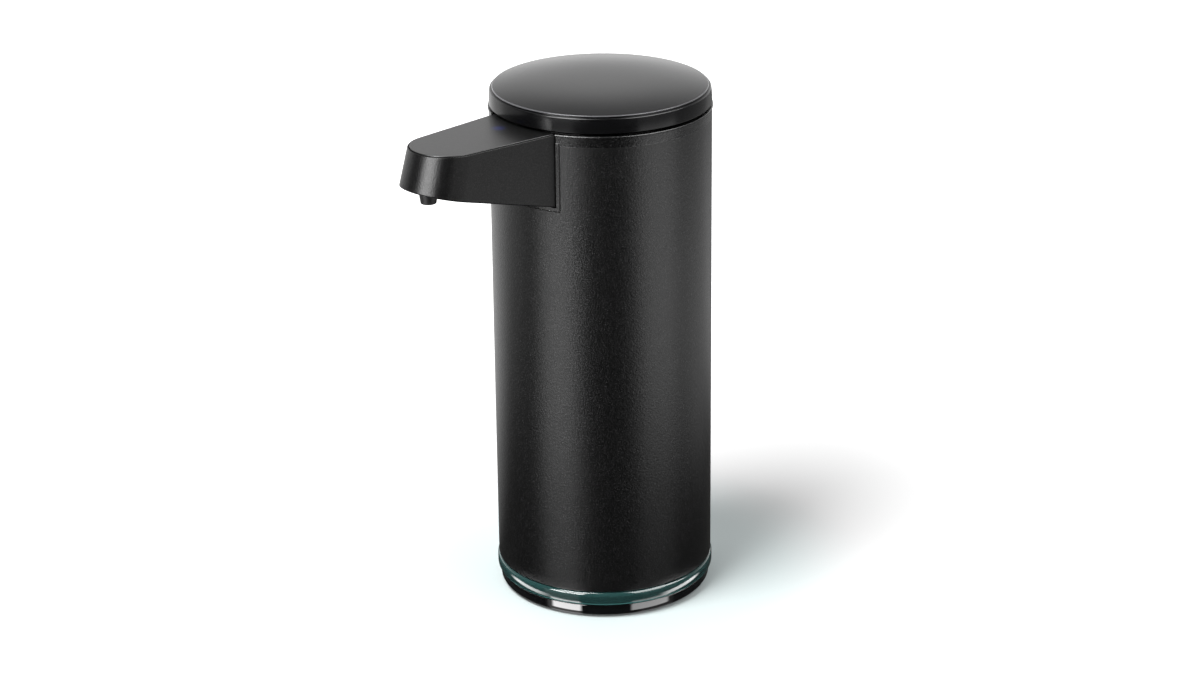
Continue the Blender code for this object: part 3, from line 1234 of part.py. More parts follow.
def make_leads():
    """Insulated leads: motor to main board, cell to main board, main board to the spout."""
    board_z = port_height + MAIN_BOARD_HEIGHT / 2
    board_y = main_board_front - LEAD_RADIUS - SEAT_GAP
    board_x = MAIN_BOARD_WIDTH / 2 - 2 * LEAD_RADIUS
    side_x = funnel_radius + 6 * LEAD_RADIUS
    tab_top = motor_top + TERMINAL_HEIGHT + LEAD_RADIUS + SEAT_GAP
    leads = []
    for index, (side, colour) in enumerate(((-1, "black"), (1, "red"))):
        lift = 4 * LEAD_RADIUS * index
        start_x = pump_x + side * TERMINAL_SPACING / 2
        leads.append(lead(f"motor_lead_{colour}", [
            (start_x, pump_y, tab_top),
            (start_x, pump_y + 2 * LEAD_RADIUS, tab_top + 4 * LEAD_RADIUS + lift),
            (-side_x, funnel_y - funnel_radius / 2, tab_top + 8 * LEAD_RADIUS + lift),
            (-side_x, funnel_y + funnel_radius / 3, tab_top + 4 * LEAD_RADIUS + lift),
            (-board_x, board_y - 2 * LEAD_RADIUS, board_z - 2 * LEAD_RADIUS + lift),
            (-board_x, board_y, board_z - 6 * LEAD_RADIUS + lift)]))
    top_z = cell_top - 4 * LEAD_RADIUS
    for index, colour in enumerate(("black", "red")):
        lift = 4 * LEAD_RADIUS * index
        start_y = cell_y + CELL_RADIUS + LEAD_RADIUS + SEAT_GAP
        start_x = cell_x + (1 + 3 * index) * LEAD_RADIUS
        low = top_z if index else chassis_floor_top + SOCKET_HEIGHT + 2 * LEAD_RADIUS
        leads.append(lead(f"cell_lead_{colour}", [
            (start_x, start_y, low),
            (side_x + lift / 2, start_y + 4 * LEAD_RADIUS, spread(low, board_z, 0.4)),
            (side_x + lift / 2, funnel_y, spread(low, board_z, 0.8)),
            (board_x - lift, board_y - 2 * LEAD_RADIUS, board_z),
            (board_x - lift, board_y, board_z - 3 * LEAD_RADIUS)]))
    cable_x = cell_x + CELL_RADIUS + 4 * LEAD_RADIUS
    spout_x = PAD_BOSS_X / 2
    under_touch = cover_bottom - SEAT_GAP - BOARD_THICKNESS - SEAT_GAP - LEAD_RADIUS
    over_sensor = underside(window_y) + sensor_stack / cos(underside_angle) + 2 * LEAD_RADIUS
    low_run = chassis_top - DECK_BOSS_HEIGHT - 4 * LEAD_RADIUS
    leads.append(lead("touch_cable", [
        (board_x / 2, board_y, board_z - 2 * LEAD_RADIUS),
        (board_x / 2 + LEAD_RADIUS, board_y, low_run - 2 * LEAD_RADIUS),
        (side_x, funnel_y + funnel_radius / 2, low_run),
        (cable_x, cell_y + CELL_RADIUS / 2, low_run),
        (cable_x - 4 * LEAD_RADIUS, cell_y - CELL_RADIUS, low_run),
        (spout_x + 8 * LEAD_RADIUS, SHELF_DEPTH - chassis_bore + 3 * LEAD_RADIUS,
         spread(low_run, under_touch, 0.55)),
        (spout_x, -touch_y + TOUCH_LENGTH / 2, under_touch - 2 * LEAD_RADIUS),
        (spout_x, -touch_y, under_touch)]))
    leads.append(lead("sensor_cable", [
        (-spout_x, -touch_y, under_touch),
        (-spout_x - 2 * LEAD_RADIUS, -touch_y - TOUCH_LENGTH / 2, under_touch - 3 * LEAD_RADIUS),
        (-spout_x - 2 * LEAD_RADIUS, -window_y, over_sensor)]))
    return leads


# Places that need more than one piece's sizes
frame_bottom = underside(shoulder_y) - SEAT_GAP - FRAME_SILL
shelf_top = underside(tail_y) - 2 * SPOUT_ROUND + SEAT_GAP * 2
pad_bottom = shelf_top + SEAT_GAP
pad_top = pad_bottom + PAD_BOSS_RISE
plug_top = funnel_top + SEAT_GAP + PLUG_FLANGE_HEIGHT
sensor_stack = (SPOUT_WALL + 3 * SEAT_GAP + WINDOW_FLANGE_THICKNESS + EYE_LENGTH
                + BOARD_THICKNESS)
nozzle_flange_bottom = (underside(nozzle_y + NOZZLE_FLANGE_RADIUS)
                        + SPOUT_WALL / cos(underside_angle) + SEAT_GAP)
shaft_top = motor_bottom + MOTOR_LENGTH / 4
pin_half = DOOR_WIDTH / 2 + SEAT_GAP + PIN_END

LOOKS = {
    "powder_coat": ((0.028, 0.028, 0.029), 0.42, 0.3, 1.0),
    "head_plastic": ((0.026, 0.026, 0.027), 0.36, 0.0, 1.0),
    "lid_plastic": ((0.030, 0.030, 0.032), 0.30, 0.0, 1.0),
    "base_plastic": ((0.010, 0.010, 0.011), 0.10, 0.0, 1.0),
    "clear_plastic": ((0.20, 0.52, 0.52), 0.06, 0.0, 0.45),
    "inner_plastic": ((0.55, 0.55, 0.54), 0.45, 0.0, 1.0),
    "rubber": ((0.035, 0.035, 0.036), 0.75, 0.0, 1.0),
    "silicone": ((0.70, 0.72, 0.72), 0.40, 0.0, 1.0),
    "dark_lens": ((0.020, 0.006, 0.008), 0.08, 0.0, 1.0),
    "light_blue": ((0.10, 0.22, 0.95), 0.30, 0.0, 1.0),
    "board_green": ((0.03, 0.16, 0.07), 0.40, 0.0, 1.0),
    "steel": ((0.62, 0.62, 0.63), 0.28, 1.0, 1.0),
    "brass": ((0.76, 0.58, 0.26), 0.30, 1.0, 1.0),
    "cell_wrap": ((0.05, 0.20, 0.42), 0.35, 0.0, 1.0),
    "red_wrap": ((0.45, 0.03, 0.03), 0.45, 0.0, 1.0),
    "black_wrap": ((0.03, 0.03, 0.03), 0.45, 0.0, 1.0),
}


def finish(item, look_name, carrier):
    """Give a piece its finish and hang it on its carrier, its origin at the carrier's."""
    item.data.materials.clear()
    look = bpy.data.materials.get(item.name) or make_look(item.name, *LOOKS[look_name])
    item.data.materials.append(look)
    place(item, Matrix.Translation(-carrier.location))
    item.parent = carrier
    item.data.shade_smooth()
    item.data.set_sharp_from_angle(angle=radians(SHARP_ANGLE))


def make_carrier(name, x=0.0, y=0.0, z=0.0):
    """Empty on a joint's axis that carries the pieces which move together."""
    carrier = bpy.data.objects.new(name, None)
    carrier.location = (x, y, z)
    bpy.context.scene.collection.objects.link(carrier)
    return carrier


def build():
    clear_scene()
    fixed = make_carrier("dispenser")
    lift_off = make_carrier("lid_lift", 0.0, 0.0, lid_bottom)
    motor_axis = make_carrier("motor_axis", pump_x, pump_y, gear_bottom)
    driven_axis = make_carrier("driven_axis", driven_x, pump_y, gear_bottom)
    door_axis = make_carrier("door_axis", 0.0, hinge_y, hinge_z)

    finish(make_foot_pad(), "rubber", fixed)
    finish(make_base_foot(), "base_plastic", fixed)
    finish(make_reservoir(), "clear_plastic", fixed)
    finish(make_sleeve(), "powder_coat", fixed)
    finish(make_collar(), "powder_coat", fixed)
    finish(make_head_floor(), "inner_plastic", fixed)
    finish(make_chassis(), "inner_plastic", fixed)
    finish(make_reservoir_seal(), "rubber", fixed)
    finish(make_deck(), "head_plastic", fixed)
    finish(make_funnel(), "inner_plastic", fixed)

    finish(make_spout_shell(), "head_plastic", fixed)
    finish(make_spout_cover(), "head_plastic", fixed)
    finish(make_nozzle(), "rubber", fixed)
    finish(make_sensor_window(), "dark_lens", fixed)
    finish(make_eye("ir_emitter", -1), "dark_lens", fixed)
    finish(make_eye("ir_receiver", 1), "dark_lens", fixed)
    finish(make_sensor_board(), "board_green", fixed)
    finish(make_touch_board(), "board_green", fixed)
    finish(make_status_led(), "light_blue", fixed)

    finish(make_pump_housing(), "inner_plastic", fixed)
    finish(make_pump_cover(), "inner_plastic", fixed)
    finish(make_driven_pin(), "steel", fixed)
    finish(make_motor(), "steel", fixed)
    finish(make_motor_shaft(), "steel", motor_axis)
    finish(make_drive_gear(), "brass", motor_axis)
    finish(make_driven_gear(), "brass", driven_axis)
    finish(make_outlet_hose(), "silicone", fixed)
    finish(make_intake_tube(), "silicone", fixed)
    finish(make_strainer(), "inner_plastic", fixed)

    finish(make_cell(), "cell_wrap", fixed)
    finish(make_main_board(), "board_green", fixed)
    finish(make_usb_port(), "steel", fixed)
    finish(make_port_surround(), "head_plastic", fixed)
    finish(make_door_pin(), "steel", fixed)
    finish(make_charge_door(), "head_plastic", door_axis)
    for screw in make_screws():
        finish(screw, "steel", fixed)
    for cable in make_leads():
        finish(cable, "red_wrap" if cable.name.endswith("red") else "black_wrap", fixed)

    finish(make_lid(), "lid_plastic", lift_off)
    finish(make_fill_plug(), "silicone", lift_off)


build()
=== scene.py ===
import bmesh
import bpy
import json
from math import acos, atan2, cos, hypot, pi, radians, sin, sqrt
from mathutils import Matrix, Vector


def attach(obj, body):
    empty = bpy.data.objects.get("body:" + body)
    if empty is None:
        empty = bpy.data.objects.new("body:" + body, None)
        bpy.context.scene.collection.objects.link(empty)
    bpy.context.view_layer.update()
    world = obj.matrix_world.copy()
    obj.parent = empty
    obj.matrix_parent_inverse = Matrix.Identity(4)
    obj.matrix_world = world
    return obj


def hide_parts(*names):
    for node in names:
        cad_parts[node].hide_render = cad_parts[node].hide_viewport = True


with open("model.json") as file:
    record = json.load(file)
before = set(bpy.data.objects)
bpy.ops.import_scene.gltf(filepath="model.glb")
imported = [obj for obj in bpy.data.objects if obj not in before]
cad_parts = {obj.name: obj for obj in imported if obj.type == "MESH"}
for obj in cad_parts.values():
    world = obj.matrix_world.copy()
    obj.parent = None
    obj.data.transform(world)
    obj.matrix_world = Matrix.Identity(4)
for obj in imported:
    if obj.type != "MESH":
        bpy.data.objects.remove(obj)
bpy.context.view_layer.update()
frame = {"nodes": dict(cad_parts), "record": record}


# camera, turned as the photograph was taken, spout to the left
view = {"spot": (0.7174, -0.6364, 0.4700), "turn": 48.48, "tilt": 68.36, "roll": -0.60, "lens": 89.52,
        "sensor": 36.0, "nearest": 0.01}

cameraData = bpy.data.cameras.new("studioCamera")
cameraData.sensor_width = view["sensor"]
cameraData.lens = view["lens"]
cameraData.clip_start = view["nearest"]
camera = bpy.data.objects.new("studioCamera", cameraData)
camera.matrix_world = (Matrix.Translation(view["spot"]) @ Matrix.Rotation(radians(view["turn"]), 4, "Z")
                       @ Matrix.Rotation(radians(view["tilt"]), 4, "X")
                       @ Matrix.Rotation(radians(view["roll"]), 4, "Z"))
bpy.context.scene.collection.objects.link(camera)
bpy.context.scene.camera = camera
bpy.context.scene.view_settings.view_transform = "Standard"
print("camera placed")


# modelling steps that several pieces use, with distances in metres and angles in degrees
meshing = {"seed": 0.001, "merge": 0.000001, "near": 0.000002, "level": 0.00001, "segments": 3,
           "perSegment": 0.0004, "smoothAngle": 32, "weight": 50, "upward": 0.99}
crispRound, hairRound, fineRound, edgeRound, softRound = 0.0001, 0.00015, 0.0002, 0.0003, 0.0004


def freshStart():
    if bpy.context.mode != "OBJECT":
        bpy.ops.object.mode_set(mode="OBJECT")
    bpy.ops.object.select_all(action="DESELECT")


def pickOnly(piece):
    freshStart()
    piece.select_set(True)
    bpy.context.view_layer.objects.active = piece


def editAll(piece):
    pickOnly(piece)
    bpy.ops.object.mode_set(mode="EDIT")
    bpy.ops.mesh.select_all(action="SELECT")


def choose(kind, test):
    # select what passes the test in the piece in hand: a vertex, both ends of an edge, the middle of a face
    bpy.ops.mesh.select_mode(type=kind)
    bpy.ops.mesh.select_all(action="DESELECT")
    mesh = bpy.context.object.data
    shape = bmesh.from_edit_mesh(mesh)
    if kind == "VERT":
        for vert in shape.verts:
            vert.select_set(test(vert.co))
    elif kind == "EDGE":
        for edge in shape.edges:
            edge.select_set(test(edge.verts[0].co) and test(edge.verts[1].co))
    else:
        for face in shape.faces:
            face.select_set(test(face.calc_center_median(), face.normal))
    shape.select_flush_mode()
    bmesh.update_edit_mesh(mesh)


def startAt(name, spot):
    # a plane at its place, pulled together to the one vertex that the outline starts from
    freshStart()
    bpy.ops.mesh.primitive_plane_add(size=meshing["seed"], location=spot)
    bpy.ops.object.transform_apply(location=True, rotation=True, scale=True)
    piece = bpy.context.object
    piece.name = piece.data.name = name
    bpy.ops.object.mode_set(mode="EDIT")
    bpy.ops.mesh.select_mode(type="VERT")
    bpy.ops.mesh.select_all(action="SELECT")
    bpy.ops.mesh.merge(type="CENTER")
    return piece


def weld():
    bpy.ops.mesh.select_all(action="SELECT")
    bpy.ops.mesh.remove_doubles(threshold=meshing["merge"])


def extrudeBy(step):
    bpy.ops.mesh.extrude_region_move(TRANSFORM_OT_translate={"value": step})


def walk(spots, closed):
    # extrude from vertex to vertex along the outline
    ends = spots[1:] + spots[:1] if closed else spots[1:]
    for here, there in zip(spots, ends):
        extrudeBy(Vector(there) - Vector(here))
    weld()


def tidyMesh():
    weld()
    bpy.ops.mesh.normals_make_consistent(inside=False)
    bpy.ops.object.mode_set(mode="OBJECT")


def spun(name, profile, steps=96, middle=(0.0, 0.0)):
    # radius, height and, where a corner is rounded, its rounding; closed unless it starts on the axis
    spots = [(middle[0] + corner[0], middle[1], corner[1]) for corner in profile]
    piece = startAt(name, spots[0])
    walk(spots, profile[0][0] > 0)
    for size in sorted({corner[2] for corner in profile if len(corner) > 2}):
        near = [Vector(spot) for spot, corner in zip(spots, profile)
                if len(corner) > 2 and corner[2] == size]
        choose("VERT", lambda co: min((co - spot).length for spot in near) < meshing["near"])
        bpy.ops.mesh.bevel(offset=size, segments=meshing["segments"] + int(size / meshing["perSegment"]),
                           affect="VERTICES")
    bpy.ops.mesh.select_all(action="SELECT")
    bpy.ops.mesh.spin(steps=steps, angle=2 * pi, center=(*middle, 0.0), axis=(0, 0, 1))
    tidyMesh()
    return piece


def rod(name, radius, low, high, steps=96, middle=(0.0, 0.0)):
    # plain upright bar, for cutting
    return spun(name, [(0.0, low), (radius, low), (radius, high), (0.0, high)], steps, middle)


def slab(name, outline, low, high):
    # a flat outline, filled and extruded upwards
    spots = [(x, y, low) for x, y in outline]
    piece = startAt(name, spots[0])
    walk(spots, True)
    bpy.ops.mesh.edge_face_add()
    extrudeBy((0, 0, high - low))
    tidyMesh()
    return piece


def roundedOutline(width, depth, corner, steps=8):
    spots = []
    for sideX, sideY, start in ((1, 1, 0), (-1, 1, 90), (-1, -1, 180), (1, -1, 270)):
        for step in range(steps + 1):
            angle = radians(start + 90 * step / steps)
            spots.append((sideX * (width / 2 - corner) + corner * cos(angle),
                          sideY * (depth / 2 - corner) + corner * sin(angle)))
    return spots


def applyModifier(piece, kind, **settings):
    pickOnly(piece)
    modifier = piece.modifiers.new(kind.lower(), kind)
    for key, value in settings.items():
        setattr(modifier, key, value)
    bpy.ops.object.modifier_apply(modifier=modifier.name)
    return piece


def combined(piece, tool, operation="DIFFERENCE"):
    applyModifier(piece, "BOOLEAN", operation=operation, object=tool, solver="EXACT")
    pickOnly(tool)
    bpy.ops.object.delete()
    return piece


def softEdges(piece, width, segments=3, angle=35):
    return applyModifier(piece, "BEVEL", width=width, segments=segments, limit_method="ANGLE",
                         angle_limit=radians(angle), miter_outer="MITER_ARC")


def turned(piece, angle, axis, pivot):
    # turn the whole mesh about a pivot, with its origin left alone
    piece.data.transform(Matrix.Translation(pivot) @ Matrix.Rotation(angle, 4, axis)
                         @ Matrix.Translation(-Vector(pivot)))
    return piece


def finished(piece, slot, node, body="dispenser"):
    # smooth shading that keeps the real edges, then material, body and the node it stands for
    pickOnly(piece)
    bpy.ops.object.shade_smooth_by_angle(angle=radians(meshing["smoothAngle"]))
    applyModifier(piece, "WEIGHTED_NORMAL", mode="FACE_AREA", weight=meshing["weight"], keep_sharp=True)
    piece.data.materials.clear()
    piece.data.materials.append(finishes[slot])
    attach(piece, body)
    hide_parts(node)
    print("  made", piece.name, len(piece.data.polygons), "faces")
    return piece


# effects that several materials share
def newGroup(name, inputs, outputs):
    group = bpy.data.node_groups.new(name, "ShaderNodeTree")
    for label, value in inputs.items():
        socket = group.interface.new_socket(name=label, in_out="INPUT", socket_type="NodeSocketFloat")
        socket.default_value = value
    for label in outputs:
        group.interface.new_socket(name=label, in_out="OUTPUT", socket_type="NodeSocketFloat")
    return group, group.nodes.new("NodeGroupInput"), group.nodes.new("NodeGroupOutput")


def addNode(tree, kind, sockets=None, **settings):
    node = tree.nodes.new(kind)
    for key, value in settings.items():
        setattr(node, key, value)
    for key, value in (sockets or {}).items():
        node.inputs[key].default_value = value
    return node


def mathNode(tree, operation, first, second):
    node = tree.nodes.new("ShaderNodeMath")
    node.operation = operation
    for socket, value in zip(node.inputs, (first, second)):
        if isinstance(value, (int, float)):
            socket.default_value = value
        else:
            tree.links.new(value, socket)
    return node.outputs[0]


def times(tree, first, second):
    return mathNode(tree, "MULTIPLY", first, second)


def plus(tree, first, second):
    return mathNode(tree, "ADD", first, second)


# grains of powder or moulded texture, with a slow cloud under them
cellShare = 0.6                      # scale of the cells over that of the grains
grainGroup, grainIn, grainOut = newGroup("surfaceGrain", {"Grain": 2400.0, "Cloud": 160.0},
                                         ["Height", "Speckle", "Cloud"])
place = addNode(grainGroup, "ShaderNodeTexCoord")
fine = addNode(grainGroup, "ShaderNodeTexNoise", {"Detail": 3.0, "Roughness": 0.6})
cells = addNode(grainGroup, "ShaderNodeTexVoronoi", feature="SMOOTH_F1")
slow = addNode(grainGroup, "ShaderNodeTexNoise", {"Detail": 4.0, "Roughness": 0.55})
for node in (fine, cells, slow):
    grainGroup.links.new(place.outputs["Object"], node.inputs["Vector"])
grainGroup.links.new(grainIn.outputs["Grain"], fine.inputs["Scale"])
grainGroup.links.new(times(grainGroup, grainIn.outputs["Grain"], cellShare), cells.inputs["Scale"])
grainGroup.links.new(grainIn.outputs["Cloud"], slow.inputs["Scale"])
grainGroup.links.new(mathNode(grainGroup, "SUBTRACT", fine.outputs["Fac"], cells.outputs["Distance"]),
                     grainOut.inputs["Height"])
grainGroup.links.new(fine.outputs["Fac"], grainOut.inputs["Speckle"])
grainGroup.links.new(slow.outputs["Fac"], grainOut.inputs["Cloud"])

# hairline marks that run two ways, for gloss plastic and metal
hairline = {"turns": (0.4, 1.9), "lean": 0.6, "stretch": 0.03, "above": 0.66}
markGroup, markIn, markOut = newGroup("hairlines", {"Fineness": 900.0}, ["Marks"])
place = addNode(markGroup, "ShaderNodeTexCoord")
lines = []
for turn in hairline["turns"]:
    spread = addNode(markGroup, "ShaderNodeMapping",
                     {"Rotation": (turn, turn * hairline["lean"], turn), "Scale": (1.0, hairline["stretch"], 1.0)})
    noise = addNode(markGroup, "ShaderNodeTexNoise", {"Detail": 2.0})
    markGroup.links.new(place.outputs["Object"], spread.inputs["Vector"])
    markGroup.links.new(spread.outputs["Vector"], noise.inputs["Vector"])
    markGroup.links.new(markIn.outputs["Fineness"], noise.inputs["Scale"])
    lines.append(mathNode(markGroup, "GREATER_THAN", noise.outputs["Fac"], hairline["above"]))
markGroup.links.new(mathNode(markGroup, "MAXIMUM", lines[0], lines[1]), markOut.inputs["Marks"])


def useGroup(tree, group, **values):
    node = tree.nodes.new("ShaderNodeGroup")
    node.node_tree = group
    for key, value in values.items():
        node.inputs[key].default_value = value
    return node


def mapRange(tree, source, low, high, fromLow=0.3, fromHigh=0.7, kind="LINEAR"):
    node = addNode(tree, "ShaderNodeMapRange", {"From Min": fromLow, "From Max": fromHigh, "To Min": low,
                                                "To Max": high}, interpolation_type=kind)
    tree.links.new(source, node.inputs["Value"])
    return node.outputs["Result"]


def rise(tree, source, fromLow, fromHigh, low=0.0, high=1.0):
    return mapRange(tree, source, low, high, fromLow, fromHigh, "SMOOTHSTEP")


def mixColours(tree, share, first, second):
    node = addNode(tree, "ShaderNodeMix", data_type="RGBA")
    tree.links.new(share, node.inputs["Factor"])
    for socket, value in ((node.inputs[6], first), (node.inputs[7], second)):
        if isinstance(value, tuple):
            socket.default_value = (*value, 1.0)
        else:
            tree.links.new(value, socket)
    return node.outputs[2]


plainLook = {"toneBy": "Cloud", "toneFrom": (0.3, 0.7), "metallic": 0.0, "ior": 1.5, "coat": 0.0,
             "coatRough": 0.1, "marks": None, "fineness": 900.0}


def look(dark, light, rough, grain, cloud, bump, depth, **more):
    # two tones, roughness in each, how fine grain and cloud are, how strong and deep the bump is
    return {"dark": dark, "light": light, "rough": rough, "grain": grain, "cloud": cloud, "bump": bump,
            "depth": depth, **plainLook, **more}


def newMaterial(name, look):
    # colour between two tones, roughness between two values, grain as bump
    material = bpy.data.materials.new(name)
    material.use_nodes = True
    tree = material.node_tree
    shader = tree.nodes["Principled BSDF"]
    grain = useGroup(tree, grainGroup, Grain=look["grain"], Cloud=look["cloud"])
    tone = mapRange(tree, grain.outputs[look["toneBy"]], 0.0, 1.0, *look["toneFrom"])
    tree.links.new(mixColours(tree, tone, look["dark"], look["light"]), shader.inputs["Base Color"])
    rough = mapRange(tree, grain.outputs[look["toneBy"]], *look["rough"])
    if look["marks"]:
        marks = useGroup(tree, markGroup, Fineness=look["fineness"])
        rough = plus(tree, rough, times(tree, marks.outputs["Marks"], look["marks"]))
    tree.links.new(rough, shader.inputs["Roughness"])
    bump = addNode(tree, "ShaderNodeBump", {"Strength": look["bump"], "Distance": look["depth"]})
    tree.links.new(grain.outputs["Height"], bump.inputs["Height"])
    tree.links.new(bump.outputs["Normal"], shader.inputs["Normal"])
    for label, key in (("Metallic", "metallic"), ("IOR", "ior"), ("Coat Weight", "coat"),
                       ("Coat Roughness", "coatRough")):
        shader.inputs[label].default_value = look[key]
    return material


blackCoat = look((0.0010, 0.0010, 0.0011), (0.0330, 0.0330, 0.0334), (0.38, 0.28), 2600.0, 60.0, 0.62,
                 0.00007, toneBy="Speckle", toneFrom=(0.55, 0.72))
looks = {
    "powder_coat": blackCoat,
    "trim_coat": {**blackCoat, "rough": (0.29, 0.23)},
    "head_plastic": look((0.0014, 0.0014, 0.0015), (0.0090, 0.0090, 0.0092), (0.34, 0.29), 2500.0, 150.0, 0.50,
                         0.00005, toneBy="Speckle", toneFrom=(0.48, 0.66), ior=1.30),
    "cover_plastic": look((0.0030, 0.0030, 0.0031), (0.0080, 0.0080, 0.0082), (0.34, 0.31), 2500.0, 120.0, 0.25,
                          0.00003, toneBy="Speckle", toneFrom=(0.48, 0.66)),
    "lid_plastic": look((0.0020, 0.0020, 0.0023), (0.0028, 0.0028, 0.0032), (0.19, 0.21), 2400.0, 60.0, 0.05,
                        0.00002, ior=1.35),
    "base_plastic": look((0.003, 0.003, 0.0034), (0.004, 0.004, 0.0045), (0.04, 0.07), 900.0, 90.0, 0.03, 0.00001,
                         coat=0.5, coatRough=0.03),
    "inner_plastic": look((0.46, 0.46, 0.45), (0.54, 0.54, 0.53), (0.40, 0.52), 1800.0, 90.0, 0.25, 0.00004),
    "pad_rubber": look((0.020, 0.020, 0.0205), (0.035, 0.035, 0.034), (0.70, 0.85), 1500.0, 120.0, 0.6, 0.00010),
    "nozzle_rubber": look((0.0030, 0.0030, 0.0032), (0.0050, 0.0050, 0.0053), (0.42, 0.55), 3000.0, 200.0, 0.30,
                          0.00003),
    "silicone": look((0.62, 0.64, 0.64), (0.72, 0.74, 0.74), (0.34, 0.46), 1400.0, 120.0, 0.20, 0.00003),
    "dark_lens": look((0.010, 0.002, 0.004), (0.014, 0.004, 0.006), (0.04, 0.08), 800.0, 100.0, 0.04, 0.00002,
                      marks=0.04, coat=0.6),
    "light_blue": look((0.08, 0.16, 0.85), (0.12, 0.24, 0.95), (0.25, 0.35), 2000.0, 400.0, 0.10, 0.00002),
    "steel": look((0.56, 0.56, 0.57), (0.66, 0.66, 0.67), (0.22, 0.34), 2600.0, 300.0, 0.12, 0.00002, metallic=1.0,
                  marks=0.10, fineness=2500.0),
    "motor_can": look((0.54, 0.54, 0.55), (0.62, 0.62, 0.63), (0.28, 0.42), 2200.0, 200.0, 0.15, 0.00002,
                      metallic=1.0, marks=0.08),
    "brass": look((0.70, 0.52, 0.22), (0.80, 0.62, 0.30), (0.24, 0.36), 2600.0, 300.0, 0.12, 0.00002, metallic=1.0,
                  marks=0.08),
    "cell_wrap": look((0.04, 0.17, 0.38), (0.06, 0.22, 0.45), (0.26, 0.36), 1200.0, 90.0, 0.15, 0.00003,
                      marks=0.05),
    "red_wrap": look((0.40, 0.025, 0.025), (0.50, 0.04, 0.035), (0.40, 0.52), 2000.0, 200.0, 0.15, 0.00003),
    "black_wrap": look((0.020, 0.020, 0.020), (0.032, 0.032, 0.032), (0.40, 0.52), 2000.0, 200.0, 0.15, 0.00003),
    "clear_plastic": look((0.040, 0.120, 0.115), (0.048, 0.135, 0.130), (0.02, 0.04), 500.0, 60.0, 0.01, 0.00001,
                          ior=1.49),
    "board_green": look((0.012, 0.090, 0.040), (0.030, 0.160, 0.075), (0.25, 0.38), 1400.0, 500.0, 0.2, 0.00004),
}
finishes = {slot: newMaterial(slot, look) for slot, look in looks.items()}

# painted highlight: the lid's top edge gets a pale base colour, standing in for the light line that its rim catches
crestHighlight = {"from": 0.03610, "to": 0.03655, "low": 0.18060, "colour": (0.090, 0.090, 0.095)}
tree = finishes["lid_plastic"].node_tree
shader = tree.nodes["Principled BSDF"]
place = addNode(tree, "ShaderNodeSeparateXYZ")
tree.links.new(addNode(tree, "ShaderNodeTexCoord").outputs["Object"], place.inputs["Vector"])
squares = [mathNode(tree, "POWER", place.outputs[axis], 2.0) for axis in ("X", "Y")]
reach = mathNode(tree, "SQRT", plus(tree, *squares), 0.0)
highlightShare = times(tree, mathNode(tree, "GREATER_THAN", reach, crestHighlight["from"]),
                  mathNode(tree, "LESS_THAN", reach, crestHighlight["to"]))
highlightShare = times(tree, highlightShare, mathNode(tree, "GREATER_THAN", place.outputs["Z"], crestHighlight["low"]))
baseColour = shader.inputs["Base Color"]
tree.links.new(mixColours(tree, highlightShare, baseColour.links[0].from_socket, crestHighlight["colour"]), baseColour)

# painted highlight: the clear plastic's colour is scaled by height, much brighter along its lower edge where a
# lower round catches light; it is also darker through the middle and a little lighter towards the top
depth = {"edge": (0.0053, 0.0061), "body": (0.0078, 0.0088), "highlightShare": 2.2, "bodyShare": 0.40,
         "topShare": 0.26, "clearness": 0.35}
tree = finishes["clear_plastic"].node_tree
shader = tree.nodes["Principled BSDF"]
shader.inputs["Transmission Weight"].default_value = depth["clearness"]
height = addNode(tree, "ShaderNodeSeparateXYZ")
tree.links.new(addNode(tree, "ShaderNodeTexCoord").outputs["Object"], height.inputs["Vector"])
shares = []
for low, high, fromShare, toShare in ((*depth["edge"], depth["highlightShare"], depth["bodyShare"]),
                                      (*depth["body"], 0.0, depth["topShare"])):
    shares.append(rise(tree, height.outputs["Z"], low, high, fromShare, toShare))
paintedBandTint = addNode(tree, "ShaderNodeVectorMath", operation="SCALE")
tree.links.new(shader.inputs["Base Color"].links[0].from_socket, paintedBandTint.inputs["Vector"])
tree.links.new(plus(tree, *shares), paintedBandTint.inputs["Scale"])
tree.links.new(paintedBandTint.outputs["Vector"], shader.inputs["Base Color"])

# the status light shines up through the cover as a soft blue spot
glow = {"middle": (-0.0020, -0.0430, 0.1742), "reach": 0.0036, "colour": (0.04, 0.07, 0.60), "strength": 0.13}
tree = finishes["cover_plastic"].node_tree
shader = tree.nodes["Principled BSDF"]
place = addNode(tree, "ShaderNodeTexCoord")
far = addNode(tree, "ShaderNodeVectorMath", operation="DISTANCE")
tree.links.new(place.outputs["Object"], far.inputs[0])
far.inputs[1].default_value = glow["middle"]
spot = mapRange(tree, far.outputs["Value"], 0.0, 1.0, glow["reach"], 0.0, "SMOOTHERSTEP")
tree.links.new(mixColours(tree, spot, (0.0, 0.0, 0.0), glow["colour"]), shader.inputs["Emission Color"])
shader.inputs["Emission Strength"].default_value = glow["strength"]

for subpart in frame["record"]["subparts"]:
    node = frame["nodes"][subpart["node"]]
    for slotPlace in node.material_slots:
        slotPlace.material = finishes[subpart["material_slot"]]
print("materials ready:", len(finishes))


# foot pad and base
foot = {"padRadius": 0.0300, "padHeight": 0.0012, "grooves": (0.0120, 0.0170, 0.0220, 0.0265),
        "grooveWidth": 0.0010, "grooveDepth": 0.0004, "gap": 0.0003, "radius": 0.0368, "low": 0.0006, "top": 0.0047,
        "lowRound": 0.0016, "topRound": 0.0003, "dishRadius": 0.0335, "dishFloor": 0.0026}

profile = [(0.0, 0.0)]
for groove in foot["grooves"]:
    profile += [(groove, 0.0, hairRound), (groove, foot["grooveDepth"]),
                (groove + foot["grooveWidth"], foot["grooveDepth"]), (groove + foot["grooveWidth"], 0.0, hairRound)]
profile += [(foot["padRadius"], 0.0, edgeRound), (foot["padRadius"], foot["padHeight"], fineRound),
            (0.0, foot["padHeight"])]
finished(spun("footPad", profile), "pad_rubber", "foot_pad")

